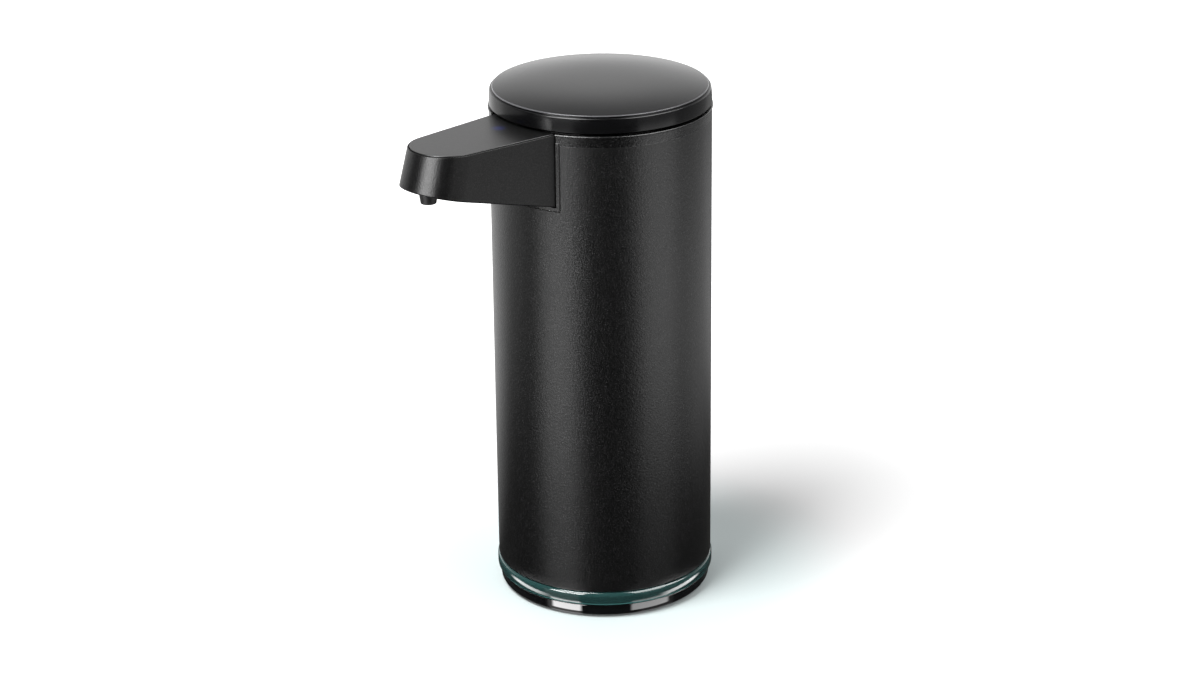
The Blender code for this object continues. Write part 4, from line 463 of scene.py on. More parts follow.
padSeat = foot["padHeight"] + foot["gap"]
padEdge = foot["padRadius"] + foot["gap"]
profile = [(0.0, padSeat), (padEdge, padSeat), (padEdge, foot["low"], fineRound),
           (foot["radius"], foot["low"], foot["lowRound"]), (foot["radius"], foot["top"], foot["topRound"]),
           (foot["dishRadius"], foot["top"], fineRound), (foot["dishRadius"], foot["dishFloor"]),
           (0.0, foot["dishFloor"])]
finished(spun("baseFoot", profile, 192), "base_plastic", "base_foot")
print("base done")


# clear reservoir whose flange shows as the band under the tube
tank = {"flangeLow": 0.0050, "flangeTop": 0.0099, "flangeRadius": 0.0379, "flangeRound": 0.0012,
        "ringOuter": 0.0332, "ringInner": 0.0310, "ringLow": 0.0032, "radius": 0.0366, "bore": 0.0350,
        "floorTop": 0.0074, "floorRound": 0.0030, "top": 0.1000}
profile = [(0.0, tank["flangeLow"]), (tank["ringInner"], tank["flangeLow"], edgeRound),
           (tank["ringInner"], tank["ringLow"], edgeRound), (tank["ringOuter"], tank["ringLow"], edgeRound),
           (tank["ringOuter"], tank["flangeLow"], fineRound),
           (tank["flangeRadius"], tank["flangeLow"], tank["flangeRound"]),
           (tank["flangeRadius"], tank["flangeTop"], tank["flangeRound"]),
           (tank["radius"], tank["flangeTop"], fineRound), (tank["radius"], tank["top"], edgeRound),
           (tank["bore"], tank["top"], softRound), (tank["bore"], tank["floorTop"], tank["floorRound"]),
           (0.0, tank["floorTop"])]
finished(spun("reservoirCup", profile, 192), "clear_plastic", "reservoir")
print("reservoir done")


# spout, with a plan that tapers into a full round nose
spout = {"halfWidth": 0.0157, "reach": 0.0789, "nose": 0.0130, "lowReach": 0.0827, "lowNose": 0.0135,
         "top": 0.1742, "rootDepth": 0.0242, "noseDepth": 0.0121, "tail": 0.0250, "lowRound": 0.0005,
         "noseSteps": 40, "lip": 0.0004, "recess": 0.0020, "wall": 0.0016, "rimStep": 0.0003, "hollow": 0.006,
         "rimRound": 0.00019, "rimBack": 0.0001, "lowSegments": 6, "deckLow": 0.1682, "deckHigh": 0.18}
tube = {"radius": 0.0375, "wall": 0.0006, "low": 0.0102, "top": 0.1704, "steps": 240, "gap": 0.0003,
        "strip": 0.0013, "sill": 0.0010, "proud": 0.0002, "slack": 0.0001, "lowRound": 0.00022,
        "topRound": 0.00003, "overrun": 0.01}
spout["shoulder"] = sqrt(tube["radius"] ** 2 - spout["halfWidth"] ** 2)
spout["slope"] = (spout["rootDepth"] - spout["noseDepth"]) / (spout["lowReach"] - tube["radius"])


def underside(distance):
    # height of the spout's sloping underside at this distance from the tube's axis
    return spout["top"] - spout["rootDepth"] + (distance - tube["radius"]) * spout["slope"]


tube["frameLow"] = underside(spout["shoulder"]) - tube["gap"] - tube["sill"]


def spoutPlan(reach, nose, grow, tail):
    reach, nose, half = reach + grow, nose + grow, spout["halfWidth"] + grow
    middle = reach - nose
    run = middle - spout["shoulder"]
    turn = atan2(half, -run) - acos(nose / hypot(half, run))
    spots = [(half, -tail), (half, -spout["shoulder"])]
    for step in range(spout["noseSteps"] + 1):
        angle = turn - 2 * turn * step / spout["noseSteps"]
        spots.append((nose * sin(angle), -(middle + nose * cos(angle))))
    return spots + [(-half, -spout["shoulder"]), (-half, -tail)]


def spoutBody(name, grow, lift, tail, topLift):
    # sloping lower outline bridged to the flat upper one, with the lower edge rounded
    low = [(x, y, underside(-y) + lift) for x, y in spoutPlan(spout["lowReach"], spout["lowNose"], grow, tail)]
    high = [(x, y, spout["top"] + topLift) for x, y in spoutPlan(spout["reach"], spout["nose"], grow, tail)]
    upper = startAt("upper", high[0])
    walk(high, True)
    bpy.ops.mesh.edge_face_add()
    piece = startAt(name, low[0])
    walk(low, True)
    bpy.ops.mesh.edge_face_add()
    bpy.ops.object.mode_set(mode="OBJECT")
    upper.select_set(True)
    bpy.ops.object.join()
    editAll(piece)
    bpy.ops.mesh.select_mode(type="FACE")
    bpy.ops.mesh.bridge_edge_loops()
    weld()
    bpy.ops.mesh.normals_make_consistent(inside=False)
    choose("EDGE", lambda co: (abs(co.z - underside(-co.y) - lift) < meshing["level"]
                               and co.y < meshing["level"] - tail))
    bpy.ops.mesh.bevel(offset=spout["lowRound"], segments=spout["lowSegments"])
    tidyMesh()
    return piece


# steel sleeve, open at the front for the spout's frame and at the rear for the charge port
port = {"height": 0.1280, "width": 0.0174, "depth": 0.0116, "bodyWidth": 0.0156, "bodyDepth": 0.0098,
        "corner": 0.0022, "face": 0.0382, "bodyFront": 0.0326, "doorWidth": 0.0122, "doorDepth": 0.0064,
        "doorCorner": 0.0012, "doorThickness": 0.0015, "barrel": 0.0010, "barrelBack": 0.0001, "grip": 0.0016,
        "gripOut": 0.6, "pin": 0.0004, "play": 0.0003, "turnPlay": 0.00015, "front": 0.0340, "sink": 0.00035,
        "cutFront": 0.030, "cutBack": 0.045, "clear": 0.05, "seatHalf": 0.0064, "cornerRound": 0.0005,
        "doorRound": 0.0002, "mouthWidth": 0.0095, "mouthDepth": 0.0038, "mouthCorner": 0.0016,
        "roomLow": 0.11, "roomHigh": 0.15, "cutHalf": 0.01, "footFrom": 0.03, "footLow": 0.12}


def portBlock(name, width, depth, corner, low, high):
    # a round cornered block through the rear wall, centred on the charge port
    piece = slab(name, roundedOutline(width, depth, corner), low, high)
    piece.data.transform(Matrix.Translation((0, 0, port["height"])) @ Matrix.Rotation(-pi / 2, 4, "X"))
    return piece


tubeBore = tube["radius"] - tube["wall"]
profile = [(tubeBore, tube["low"], crispRound), (tube["radius"], tube["low"], tube["lowRound"]),
           (tube["radius"], tube["top"], tube["topRound"]), (tubeBore, tube["top"], crispRound)]
sleeve = spun("steelSleeve", profile, tube["steps"])
grow = tube["strip"] + tube["gap"] + tube["slack"]
combined(sleeve, slab("notch", spoutPlan(spout["reach"], spout["nose"], grow, spout["tail"]),
                      tube["frameLow"] - tube["gap"], tube["top"] + tube["overrun"]))
combined(sleeve, portBlock("portHole", port["bodyWidth"] + 2 * port["play"], port["bodyDepth"] + 2 * port["play"],
                           port["corner"], port["cutFront"], port["cutBack"]))
finished(sleeve, "powder_coat", "steel_sleeve")
print("sleeve done")


# collar ring in one moulding with the frame round the spout's root
collar = {"bore": 0.0360, "spigotRadius": 0.0366, "spigotLow": 0.1685, "low": 0.17042, "radius": 0.03785,
          "beadLow": 0.1735, "beadRise": 0.00025, "beadRound": 0.00024, "top": 0.17425, "bandRound": 0.00018,
          "bandDrop": 0.002, "bandRise": 0.0009, "slotRise": 0.004}
profile = [(collar["bore"], collar["spigotLow"]), (collar["spigotRadius"], collar["spigotLow"], fineRound),
           (collar["spigotRadius"], collar["low"]), (tube["radius"], collar["low"]),
           (tube["radius"], collar["beadLow"]), (collar["radius"], collar["beadLow"] + collar["beadRise"]),
           (collar["radius"], collar["top"], collar["beadRound"]), (collar["bore"], collar["top"], fineRound)]
collarTrim = spun("collarTrim", profile, tube["steps"])
bandFace = tube["radius"] + tube["proud"]
bandLow, bandHigh = tube["frameLow"] - collar["bandDrop"], collar["low"] + collar["bandRise"]
band = spun("band", [(tubeBore, bandLow), (bandFace, bandLow), (bandFace, bandHigh), (tubeBore, bandHigh)],
            tube["steps"])
grow = tube["strip"] + tube["gap"]
combined(band, slab("stripPlan", spoutPlan(spout["reach"], spout["nose"], grow, spout["tail"]),
                    tube["frameLow"], collar["low"] + collar["bandDrop"]), "INTERSECT")
softEdges(band, collar["bandRound"], 2, 50)
combined(collarTrim, band, "UNION")
combined(collarTrim, spoutBody("spoutSlot", 1.5 * tube["gap"], -tube["gap"], spout["tail"], collar["slotRise"]))
finished(collarTrim, "trim_coat", "collar_trim")
print("collar done")


# spout shell, recessed for its flat cover
shell = spoutBody("spoutShell", 0.0, 0.0, spout["tail"], -spout["rimStep"])
editAll(shell)
rimTop = spout["top"] - spout["rimStep"]
choose("FACE", lambda co, normal: normal.z > meshing["upward"] and co.z > rimTop - meshing["level"])
bpy.ops.mesh.inset(thickness=spout["lip"])
extrudeBy((0, 0, -spout["recess"]))
bpy.ops.mesh.inset(thickness=spout["wall"] - spout["lip"])
extrudeBy((0, 0, -spout["hollow"]))
choose("EDGE", lambda co: co.z > rimTop - meshing["level"] and co.y < spout["rimBack"] - spout["shoulder"])
bpy.ops.mesh.bevel(offset=spout["rimRound"], segments=meshing["segments"])
tidyMesh()
combined(shell, rod("deckRoom", collar["bore"], spout["deckLow"], spout["deckHigh"], tube["steps"]))

# outlet and sensor window, both let into the sloping underside
outlet = {"y": -0.0744, "tip": 0.0026, "root": 0.0030, "drop": 0.0035, "bore": 0.0011, "flange": 0.0041,
          "flangeHeight": 0.0009, "play": 0.0003, "holeLow": 0.156, "holeHigh": 0.164, "barb": 0.0012,
          "barbTop": 0.0017, "barbBore": 0.0007, "boreStep": 0.0006}
eye = {"y": -0.0580, "width": 0.0120, "length": 0.0064, "corner": 0.0030, "thickness": 0.0022,
       "play": 0.0003, "cutLow": -0.002, "cutHigh": 0.0024}
slopeAngle = atan2(spout["rootDepth"] - spout["noseDepth"], spout["lowReach"] - tube["radius"])


def onUnderside(piece, y):
    piece.data.transform(Matrix.Translation((0, y, underside(-y))) @ Matrix.Rotation(-slopeAngle, 4, "X"))
    return piece


combined(shell, rod("outletHole", outlet["root"] + outlet["play"], outlet["holeLow"], outlet["holeHigh"],
                    48, (0.0, outlet["y"])))
windowPlan = roundedOutline(eye["width"] + 2 * eye["play"], eye["length"] + 2 * eye["play"],
                            eye["corner"] + eye["play"])
combined(shell, onUnderside(slab("windowHole", windowPlan, eye["cutLow"], eye["cutHigh"]), eye["y"]))
finished(shell, "head_plastic", "spout_shell")

windowPlan = roundedOutline(eye["width"], eye["length"], eye["corner"])
lens = onUnderside(slab("sensorWindow", windowPlan, 0.0, eye["thickness"]), eye["y"])
softEdges(lens, edgeRound, 3, 50)
finished(lens, "dark_lens", "sensor_window")

tipHeight = underside(-outlet["y"]) - outlet["drop"]
skinHeight = underside(-outlet["y"]) - outlet["root"] * spout["slope"]
flangeLow = underside(-outlet["y"] + outlet["flange"]) + spout["wall"] / cos(slopeAngle) + outlet["play"]
profile = [(outlet["bore"], tipHeight, edgeRound), (outlet["tip"], tipHeight, hairRound),
           (outlet["root"], skinHeight, softRound), (outlet["root"], flangeLow), (outlet["flange"], flangeLow),
           (outlet["flange"], flangeLow + outlet["flangeHeight"]),
           (outlet["barb"], flangeLow + outlet["flangeHeight"]), (outlet["barb"], flangeLow + outlet["barbTop"]),
           (outlet["barbBore"], flangeLow + outlet["barbTop"]), (outlet["barbBore"], flangeLow),
           (outlet["bore"], flangeLow - outlet["boreStep"])]
finished(spun("nozzle", profile, 64, (0.0, outlet["y"])), "nozzle_rubber", "nozzle")

# flat cover, set in with a fine groove all round
cover = {"thickness": 0.0017, "inset": 0.0007, "edge": 0.0002, "pocket": 0.0022, "pocketLow": 0.172,
         "pocketTop": 0.1734, "pocketY": -0.0448, "deckLow": 0.17}
coverPlate = slab("spoutCover", spoutPlan(spout["reach"], spout["nose"], -cover["inset"], spout["tail"]),
                  spout["top"] - cover["thickness"], spout["top"])
editAll(coverPlate)
choose("EDGE", lambda co: co.z > spout["top"] - meshing["level"])
bpy.ops.mesh.bevel(offset=cover["edge"], segments=meshing["segments"])
tidyMesh()
combined(coverPlate, rod("deckRoom", collar["bore"], cover["deckLow"], spout["deckHigh"], tube["steps"]))
combined(coverPlate, rod("lightPocket", cover["pocket"], cover["pocketLow"], cover["pocketTop"], 32,
                         (0.0, cover["pocketY"])))
finished(coverPlate, "cover_plastic", "spout_cover")
print("spout done")


# lift-off lid
lid = {"low": 0.1751, "radius": 0.0375, "rimRadius": 0.0372, "rimTop": 0.1802, "swellRadius": 0.03745,
       "swell": 0.1777, "edge": 0.00035, "domeRadius": 0.0364, "domeLow": 0.1809, "top": 0.1826, "wall": 0.0016,
       "ceiling": 0.17945, "ringOuter": 0.0340, "ringWall": 0.0016, "ringLow": 0.1710, "bossRadius": 0.0130,
       "bossWall": 0.0018, "bossY": 0.0120, "bossLow": 0.1736, "pinRadius": 0.0030, "pinLow": 0.1702,
       "pinRound": 0.0006, "weld": 0.0008, "domeSteps": 18, "roundShare": 0.35}
lidBore, ringBore = lid["radius"] - lid["wall"], lid["ringOuter"] - lid["ringWall"]
bossTop = lid["ceiling"] + lid["weld"]
profile = []
for step in range(lid["domeSteps"] + 1):
    share = step / lid["domeSteps"]
    fall = lid["roundShare"] * share ** 2 + (1 - lid["roundShare"]) * share ** 4
    profile.append((lid["domeRadius"] * share, lid["top"] + (lid["domeLow"] - lid["top"]) * fall))
profile[-1] = (lid["domeRadius"], lid["domeLow"], fineRound)
profile.append((lid["domeRadius"], lid["rimTop"]))
profile += [(lid["rimRadius"], lid["rimTop"], lid["edge"]), (lid["swellRadius"], lid["swell"]),
            (lid["radius"], lid["low"], edgeRound), (lidBore, lid["low"], fineRound),
            (lidBore, lid["ceiling"], softRound), (lid["ringOuter"], lid["ceiling"], softRound),
            (lid["ringOuter"], lid["ringLow"], edgeRound), (ringBore, lid["ringLow"], edgeRound),
            (ringBore, lid["ceiling"], softRound), (0.0, lid["ceiling"])]
lidPiece = spun("lid", profile, tube["steps"])
bossBore = lid["bossRadius"] - lid["bossWall"]
boss = spun("boss", [(bossBore, lid["bossLow"], edgeRound), (lid["bossRadius"], lid["bossLow"], edgeRound),
                     (lid["bossRadius"], bossTop), (bossBore, bossTop)], 96, (0.0, lid["bossY"]))
combined(lidPiece, boss, "UNION")
pin = spun("pin", [(0.0, lid["pinLow"]), (lid["pinRadius"], lid["pinLow"], lid["pinRound"]),
                   (lid["pinRadius"], bossTop), (0.0, bossTop)], 48, (0.0, lid["bossY"]))
combined(lidPiece, pin, "UNION")
finished(lidPiece, "lid_plastic", "lid", "lid_body")

# silicone plug with two sealing ribs
plug = {"radius": 0.0124, "rib": 0.0126, "flange": 0.0161, "bottom": 0.1679, "flangeLow": 0.1723, "top": 0.1733,
        "pinHole": 0.0033, "pinDepth": 0.0034, "ribs": (0.1694, 0.1708), "ribHalf": 0.0003, "lowRound": 0.0008}
profile = [(0.0, plug["bottom"]), (plug["radius"], plug["bottom"], plug["lowRound"])]
for height in plug["ribs"]:
    profile += [(plug["radius"], height - plug["ribHalf"]), (plug["rib"], height, crispRound),
                (plug["radius"], height + plug["ribHalf"])]
profile += [(plug["radius"], plug["flangeLow"], fineRound), (plug["flange"], plug["flangeLow"], fineRound),
            (plug["flange"], plug["top"], edgeRound), (plug["pinHole"], plug["top"], fineRound),
            (plug["pinHole"], plug["top"] - plug["pinDepth"]), (0.0, plug["top"] - plug["pinDepth"])]
finished(spun("fillPlug", profile, 96, (0.0, lid["bossY"])), "silicone", "fill_plug", "lid_body")
print("lid done")


# top deck, fill funnel and deck screws, seen when the lid is lifted
deck = {"low": 0.1685, "top": 0.1707, "radius": 0.0357, "rimTop": 0.1739, "rimBore": 0.0343, "fillRadius": 0.0143,
        "fillY": 0.0120, "bossReach": 0.0295, "bossAngles": (35, 145, 215, 325), "hole": 0.0014,
        "floorRound": 0.0005, "cutLow": 0.167, "cutHigh": 0.173}
profile = [(0.0, deck["low"]), (deck["radius"], deck["low"], edgeRound),
           (deck["radius"], deck["rimTop"], edgeRound), (deck["rimBore"], deck["rimTop"], softRound),
           (deck["rimBore"], deck["top"], deck["floorRound"]), (0.0, deck["top"])]
deckPlate = spun("topDeck", profile, 192)
combined(deckPlate, rod("fillHole", deck["fillRadius"], deck["cutLow"], deck["cutHigh"], 96,
                        (0.0, deck["fillY"])))
screw = {"radius": 0.0011, "head": 0.0022, "headHeight": 0.0013, "length": 0.0082, "seat": 0.1707, "gap": 0.0003,
         "slot": 0.0005, "slotDepth": 0.0007, "slotReach": 1.3, "headRound": 0.0007, "crown": 0.00005,
         "overrun": 0.001}
screwSpots = [(deck["bossReach"] * cos(radians(angle)), deck["bossReach"] * sin(radians(angle)))
              for angle in deck["bossAngles"]]
for x, y in screwSpots:
    combined(deckPlate, rod("screwHole", deck["hole"], deck["cutLow"], deck["cutHigh"], 24, (x, y)))
finished(deckPlate, "head_plastic", "top_deck")

headLow = screw["seat"] + screw["gap"]
headTop, screwTip = headLow + screw["headHeight"], screw["seat"] - screw["length"]
profile = [(0.0, screwTip), (screw["radius"], screwTip, edgeRound), (screw["radius"], headLow),
           (screw["head"], headLow, crispRound), (screw["head"], headTop, screw["headRound"]),
           (0.0, headTop + screw["crown"])]
firstScrew = spun("deckScrew1", profile, 32)
for turn in (0, 90):
    cross = slab("cross", roundedOutline(screw["head"] * screw["slotReach"], screw["slot"], crispRound, 2),
                 headTop - screw["slotDepth"], headTop + screw["overrun"])
    combined(firstScrew, turned(cross, radians(turn), "Z", (0, 0, 0)))
# the first screw is made on the axis and moved to its place, the others are copies of it from there
fromX, fromY = 0, 0
for index, (x, y) in enumerate(screwSpots):
    copy = firstScrew
    if index:
        pickOnly(firstScrew)
        bpy.ops.object.duplicate()
        copy = bpy.context.object
        copy.name = copy.data.name = f"deckScrew{index + 1}"
        fromX, fromY = screwSpots[0]
    copy.data.transform(Matrix.Translation((x - fromX, y - fromY, 0)))
    finished(copy, "steel", f"deck_screw_{index + 1}")

funnel = {"radius": 0.0140, "bore": 0.0128, "flange": 0.0164, "low": 0.0957, "flangeLow": 0.1710, "top": 0.1720,
          "mouthRound": 0.0009}
profile = [(funnel["radius"], funnel["low"], edgeRound), (funnel["radius"], funnel["flangeLow"]),
           (funnel["flange"], funnel["flangeLow"], fineRound), (funnel["flange"], funnel["top"], edgeRound),
           (funnel["bore"], funnel["top"], funnel["mouthRound"]), (funnel["bore"], funnel["low"], edgeRound)]
finished(spun("fillFunnel", profile, 96, (0.0, deck["fillY"])), "inner_plastic", "fill_funnel")
print("deck done")


# charge port: surround, hinged door and socket
surround = portBlock("portSurround", port["width"], port["depth"], port["corner"], port["front"], port["face"])
softEdges(surround, port["cornerRound"], 4, 60)
combined(surround, rod("tubeRoom", tube["radius"] + tube["gap"], port["roomLow"], port["roomHigh"], tube["steps"]))
combined(surround, portBlock("body", port["bodyWidth"], port["bodyDepth"], port["corner"], port["bodyFront"],
                             port["face"] - port["sink"]), "UNION")
hingeY = port["face"] - port["barrelBack"] - port["barrel"]
hingeZ = port["height"] - port["doorDepth"] / 2 + port["barrel"]
recess = hingeY - port["barrel"] - port["play"]
combined(surround, portBlock("recess", port["doorWidth"] + 2 * port["play"], port["doorDepth"] + 2 * port["play"],
                             port["doorCorner"] + port["play"], recess, port["clear"]))
seatPlan = [(-port["seatHalf"], recess), (port["seatHalf"], recess), (port["seatHalf"], port["clear"]),
            (-port["seatHalf"], port["clear"])]
combined(surround, slab("barrelSeat", seatPlan, hingeZ - port["barrel"] - port["play"], hingeZ))
combined(surround, portBlock("mouth", port["mouthWidth"], port["mouthDepth"], port["mouthCorner"],
                             port["cutFront"], port["clear"]))
finished(surround, "head_plastic", "port_surround")


def crossBar(name, radius, half, y, z, steps=32, roundShare=0.2):
    # round bar along X
    corner = radius * roundShare
    piece = spun(name, [(0.0, -half), (radius, -half, corner), (radius, half, corner), (0.0, half)], steps)
    piece.data.transform(Matrix.Translation((0, y, z)) @ Matrix.Rotation(pi / 2, 4, "Y"))
    return piece


door = portBlock("chargeDoor", port["doorWidth"], port["doorDepth"], port["doorCorner"],
                 port["face"] - port["doorThickness"], port["face"])
softEdges(door, port["doorRound"], 3, 60)
footPlan = [(-port["cutHalf"], port["footFrom"]), (port["cutHalf"], port["footFrom"]),
            (port["cutHalf"], port["clear"]), (-port["cutHalf"], port["clear"])]
combined(door, slab("doorFoot", footPlan, port["footLow"], hingeZ - port["barrel"] / 2))
combined(door, crossBar("barrel", port["barrel"], port["doorWidth"] / 2 - port["turnPlay"], hingeY, hingeZ),
         "UNION")
combined(door, crossBar("bore", port["pin"] + port["turnPlay"], port["cutHalf"], hingeY, hingeZ, 16))
combined(door, crossBar("grip", port["grip"], port["doorWidth"] / 5, port["face"] + port["grip"] * port["gripOut"],
                        port["height"] + port["doorDepth"] / 2 + port["play"]))
finished(door, "head_plastic", "charge_door", "door")

socket = {"width": 0.0089, "depth": 0.0032, "wall": 0.00035, "low": 0.0280, "mouthDepth": 0.0055,
          "tongueWidth": 0.0062, "tongueHeight": 0.0007, "back": 0.0004, "flat": 0.00005, "mouthFlat": 0.0004}
socket["high"] = recess - socket["back"]
shellPiece = portBlock("usbPort", socket["width"], socket["depth"], socket["depth"] / 2 - socket["flat"],
                       socket["low"], socket["high"])
softEdges(shellPiece, crispRound, 2, 60)
combined(shellPiece, portBlock("mouth", socket["width"] - 2 * socket["wall"], socket["depth"] - 2 * socket["wall"],
                               socket["depth"] / 2 - socket["mouthFlat"], socket["high"] - socket["mouthDepth"],
                               port["clear"]))
tongueLow = socket["high"] - socket["mouthDepth"] - socket["wall"]
tongue = portBlock("tongue", socket["tongueWidth"], socket["tongueHeight"], hairRound, tongueLow,
                   socket["high"] - socket["wall"])
combined(shellPiece, tongue, "UNION")
finished(shellPiece, "steel", "usb_port")
print("charge port done")


# pale floor, a wide lamp, three standing soft boxes and a white wall behind
def along(tree, source, direction):
    node = addNode(tree, "ShaderNodeVectorMath", operation="DOT_PRODUCT")
    node.inputs[1].default_value = direction
    tree.links.new(source, node.inputs[0])
    return node.outputs["Value"]


def fan(tree, heading, turn, halfWidth, soft):
    # 1 within halfWidth degrees of a compass direction, fading out over soft degrees on each side
    flat = addNode(tree, "ShaderNodeVectorMath", operation="MULTIPLY")
    flat.inputs[1].default_value = (1.0, 1.0, 0.0)
    tree.links.new(heading, flat.inputs[0])
    unit = addNode(tree, "ShaderNodeVectorMath", operation="NORMALIZE")
    tree.links.new(flat.outputs["Vector"], unit.inputs[0])
    facing = along(tree, unit.outputs["Vector"], (cos(radians(turn)), sin(radians(turn)), 0.0))
    return rise(tree, facing, cos(radians(halfWidth + soft)), cos(radians(halfWidth - soft)))


def sheenEdge(tree, spotOnFloor, turn, side):
    # 1 on one side of the line that a wall facing this much off the lens mirrors
    ahead = radians(studio["lens"] + 2 * turn)
    across = (-side * sin(ahead), side * cos(ahead), 0.0)
    start = side * tube["radius"] * sin(radians(-turn))
    return rise(tree, along(tree, spotOnFloor, across), start - studio["edgeSoft"], start + studio["edgeSoft"])


studio = {"lens": -41.6, "edgeSoft": 0.001, "floorSize": 12.0, "tone": (0.80, 0.80, 0.80),
          "shadowTintNear": (0.62, 0.69, 0.69), "shadowTintReach": (0.055, 0.100), "glowNear": 0.06, "glowFar": 0.80,
          "glowFrom": 0.13, "glowTo": 0.42, "dim": 0.03, "footReach": (0.0404, 0.0410, 0.0475, 0.0500),
          "footRay": (0.013, 0.016), "bandReach": (0.0470, 0.0482, 0.0498, 0.0510), "bandRay": (0.0185, 0.0205),
          "bandTurn": 58.0, "bandHalf": 13.0, "bandSoft": 9.0, "bandPower": 10.0, "rough": 0.9,
          "boxLeft": {"edges": (-33.5, -14.0), "footEdges": (-30.2, -13.5), "foot": 12.0, "near": 0.58, "far": 2.30,
                      "from": 0.09, "to": 0.28, "fade": (0.38, 0.74), "left": 0.22},
          "boxRight": {"edges": (19.5, 41.0), "footEdges": (14.5, 37.0), "foot": 4.2, "near": 0.15, "far": 1.85,
                       "from": 0.12, "to": 0.28, "fade": (0.56, 0.90), "left": 0.22},
          "backLeft": {"turn": 170.0, "half": 26.0, "soft": 14.0, "near": 0.26, "far": 0.90, "from": 0.06,
                       "to": 0.26},
          "sideLeft": {"turn": -144.0, "half": 20.0, "soft": 12.0, "near": 0.02, "far": 0.62, "from": 0.12,
                       "to": 0.42},
          "sideRight": {"turn": 56.0, "half": 18.0, "soft": 12.0, "near": 0.00, "far": 0.30, "from": 0.10,
                        "to": 0.20, "fade": (0.36, 0.52)},
          "backRight": {"turn": 72.0, "half": 34.0, "soft": 12.0, "near": 0.02, "far": 0.60, "from": 0.12,
                        "to": 0.30, "fade": (0.40, 0.62), "left": 0.45},
          "back": {"turn": 138.4, "half": 40.0, "soft": 14.0, "near": 0.05, "far": 0.20, "from": 0.12, "to": 0.30}}
freshStart()
bpy.ops.mesh.primitive_plane_add(size=studio["floorSize"], location=(0, 0, 0))
floor = bpy.context.object
floor.name = floor.data.name = "studioFloor"
floorPaper = bpy.data.materials.new("floorPaper")
floorPaper.use_nodes = True
tree = floorPaper.node_tree
paper = tree.nodes["Principled BSDF"]
paper.inputs["Roughness"].default_value = studio["rough"]
paper.inputs["Specular IOR Level"].default_value = 0.0
paper.inputs["Emission Color"].default_value = (1.0, 1.0, 1.0, 1.0)
spotOnFloor = addNode(tree, "ShaderNodeTexCoord").outputs["Object"]
reach = addNode(tree, "ShaderNodeVectorMath", operation="LENGTH")
tree.links.new(spotOnFloor, reach.inputs[0])
reach = reach.outputs["Value"]
# painted shadow: the floor's colour is darker and teal round the foot, standing in for the object's shade and the
# teal light through the clear band; its emission is low there and high further off, so the far floor is white
tree.links.new(mixColours(tree, rise(tree, reach, *studio["shadowTintReach"]), studio["shadowTintNear"], studio["tone"]),
               paper.inputs["Base Color"])
tree.links.new(rise(tree, reach, studio["glowFrom"], studio["glowTo"], studio["glowNear"], studio["glowFar"]),
               paper.inputs["Emission Strength"])
rays = addNode(tree, "ShaderNodeLightPath")


# the table as glossy surfaces see it: dim round the foot, paler further off, bright under the soft boxes
def ringPatch(edges, longest):
    inside = times(tree, rise(tree, reach, *edges[:2]), rise(tree, reach, *edges[2:], 1.0, 0.0))
    return times(tree, inside, rise(tree, rays.outputs["Ray Length"], *longest, 1.0, 0.0))


def between(edges):
    return times(tree, sheenEdge(tree, spotOnFloor, edges[0], 1), sheenEdge(tree, spotOnFloor, edges[1], -1))


def powerBy(light):
    return rise(tree, reach, light["from"], light["to"], light["near"], light["far"])


atFoot = ringPatch(studio["footReach"], studio["footRay"])
atBand = ringPatch(studio["bandReach"], studio["bandRay"])
sides = plus(tree, *(fan(tree, spotOnFloor, studio["lens"] + side * studio["bandTurn"], studio["bandHalf"],
                         studio["bandSoft"]) for side in (1, -1)))
total = plus(tree, times(tree, times(tree, atBand, sides), studio["bandPower"]), studio["dim"])
for box in (studio["boxLeft"], studio["boxRight"]):
    power = times(tree, powerBy(box), rise(tree, reach, *box["fade"], 1.0, box["left"]))
    total = plus(tree, total, times(tree, between(box["edges"]), power))
    total = plus(tree, total, times(tree, between(box["footEdges"]), times(tree, atFoot, box["foot"])))
for side in (studio["backLeft"], studio["sideLeft"], studio["sideRight"], studio["backRight"], studio["back"]):
    lit = fan(tree, spotOnFloor, side["turn"], side["half"], side["soft"])
    power = powerBy(side)
    if "fade" in side:
        power = times(tree, power, rise(tree, reach, *side["fade"], 1.0, side.get("left", 0.0)))
    total = plus(tree, total, times(tree, lit, power))
sheen = addNode(tree, "ShaderNodeEmission")
tree.links.new(total, sheen.inputs["Strength"])
either = addNode(tree, "ShaderNodeMixShader")
tree.links.new(rays.outputs["Is Glossy Ray"], either.inputs[0])
tree.links.new(paper.outputs["BSDF"], either.inputs[1])
tree.links.new(sheen.outputs["Emission"], either.inputs[2])
tree.links.new(either.outputs["Shader"], tree.nodes["Material Output"].inputs["Surface"])
floor.data.materials.append(floorPaper)

lamp = {"turn": -91.0, "lift": 66.0, "far": 1.30, "size": 0.55, "watts": 20.5}
lampData = bpy.data.lights.new("wideLamp", "AREA")
lampData.size = lamp["size"]
lampData.energy = lamp["watts"]
wideLamp = bpy.data.objects.new("wideLamp", lampData)
wideLamp.location = (lamp["far"] * cos(radians(lamp["lift"])) * cos(radians(lamp["turn"])),
                     lamp["far"] * cos(radians(lamp["lift"])) * sin(radians(lamp["turn"])),
                     lamp["far"] * sin(radians(lamp["lift"])))
wideLamp.rotation_euler = (pi / 2 - radians(lamp["lift"]), 0.0, radians(lamp["turn"]) + pi / 2)
bpy.context.scene.collection.objects.link(wideLamp)

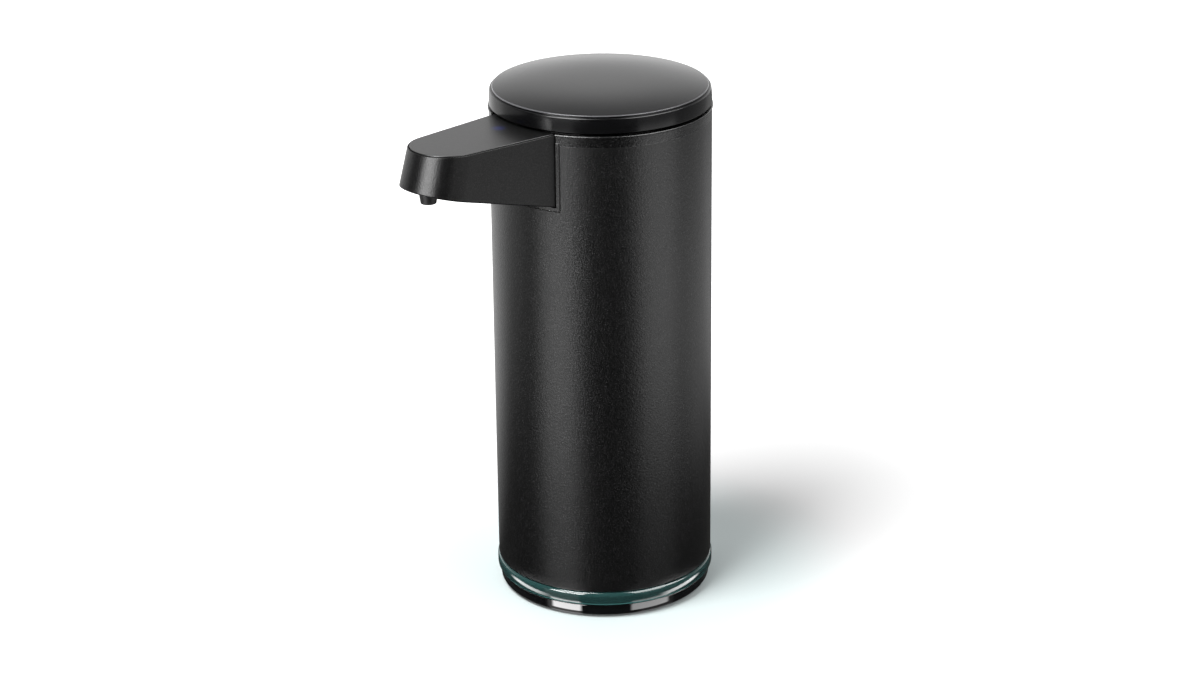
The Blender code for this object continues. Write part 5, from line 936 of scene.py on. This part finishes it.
# each standing box: turn, half width, softness, power low down, power higher up
air = {"dim": 0.03, "boxes": ((-81.6, 18.0, 1.5, 28.0, 9.0), (4.0, 16.0, 1.5, 6.5, 11.0),
                              (38.0, 18.0, 4.0, 0.0, 12.0)), "boxFoot": (0.02, 0.10),
       "boxMiddle": (0.30, 0.42), "boxTop": (0.84, 0.92), "camera": 1.0, "matt": 0.11,
       "wall": 138.4, "halfWidth": 70.0, "soft": 22.0, "low": 0.05, "high": 0.46, "bend": 1.25, "bright": 2.1,
       "pale": 0.58, "foot": (0.0, 0.14, 0.70, 1.0), "dip": 0.25, "dipWidth": 6.0}
world = bpy.data.worlds.new("studioAir")
world.use_nodes = True
bpy.context.scene.world = world
tree = world.node_tree
background = tree.nodes["Background"]
heading = addNode(tree, "ShaderNodeTexCoord").outputs["Generated"]
lift = along(tree, heading, (0.0, 0.0, 1.0))
slope = mapRange(tree, lift, 1.0, 0.0, air["low"], air["high"])
wall = times(tree, mathNode(tree, "POWER", slope, air["bend"]), air["bright"])
wall = times(tree, plus(tree, wall, air["pale"]), rise(tree, lift, *air["foot"]))
dip = times(tree, fan(tree, heading, air["wall"], air["dipWidth"], air["dipWidth"]), air["dip"])
wall = times(tree, wall, mathNode(tree, "SUBTRACT", 1.0, dip))
total = times(tree, wall, fan(tree, heading, air["wall"], air["halfWidth"], air["soft"]))
rays = addNode(tree, "ShaderNodeLightPath")
boxShare = mathNode(tree, "MAXIMUM", rays.outputs["Is Glossy Ray"], air["matt"])
for turn, half, soft, lowPower, highPower in air["boxes"]:
    power = times(tree, rise(tree, lift, *air["boxMiddle"], lowPower, highPower),
                  rise(tree, lift, *air["boxTop"], 1.0, 0.0))
    power = times(tree, times(tree, power, rise(tree, lift, *air["boxFoot"])), boxShare)
    total = plus(tree, total, times(tree, fan(tree, heading, turn, half, soft), power))
total = plus(tree, total, air["dim"])
seen = times(tree, rays.outputs["Is Camera Ray"], air["camera"])
tree.links.new(mathNode(tree, "MAXIMUM", total, seen), background.inputs["Strength"])
background.inputs["Color"].default_value = (1.0, 1.0, 1.0, 1.0)
print("studio ready")
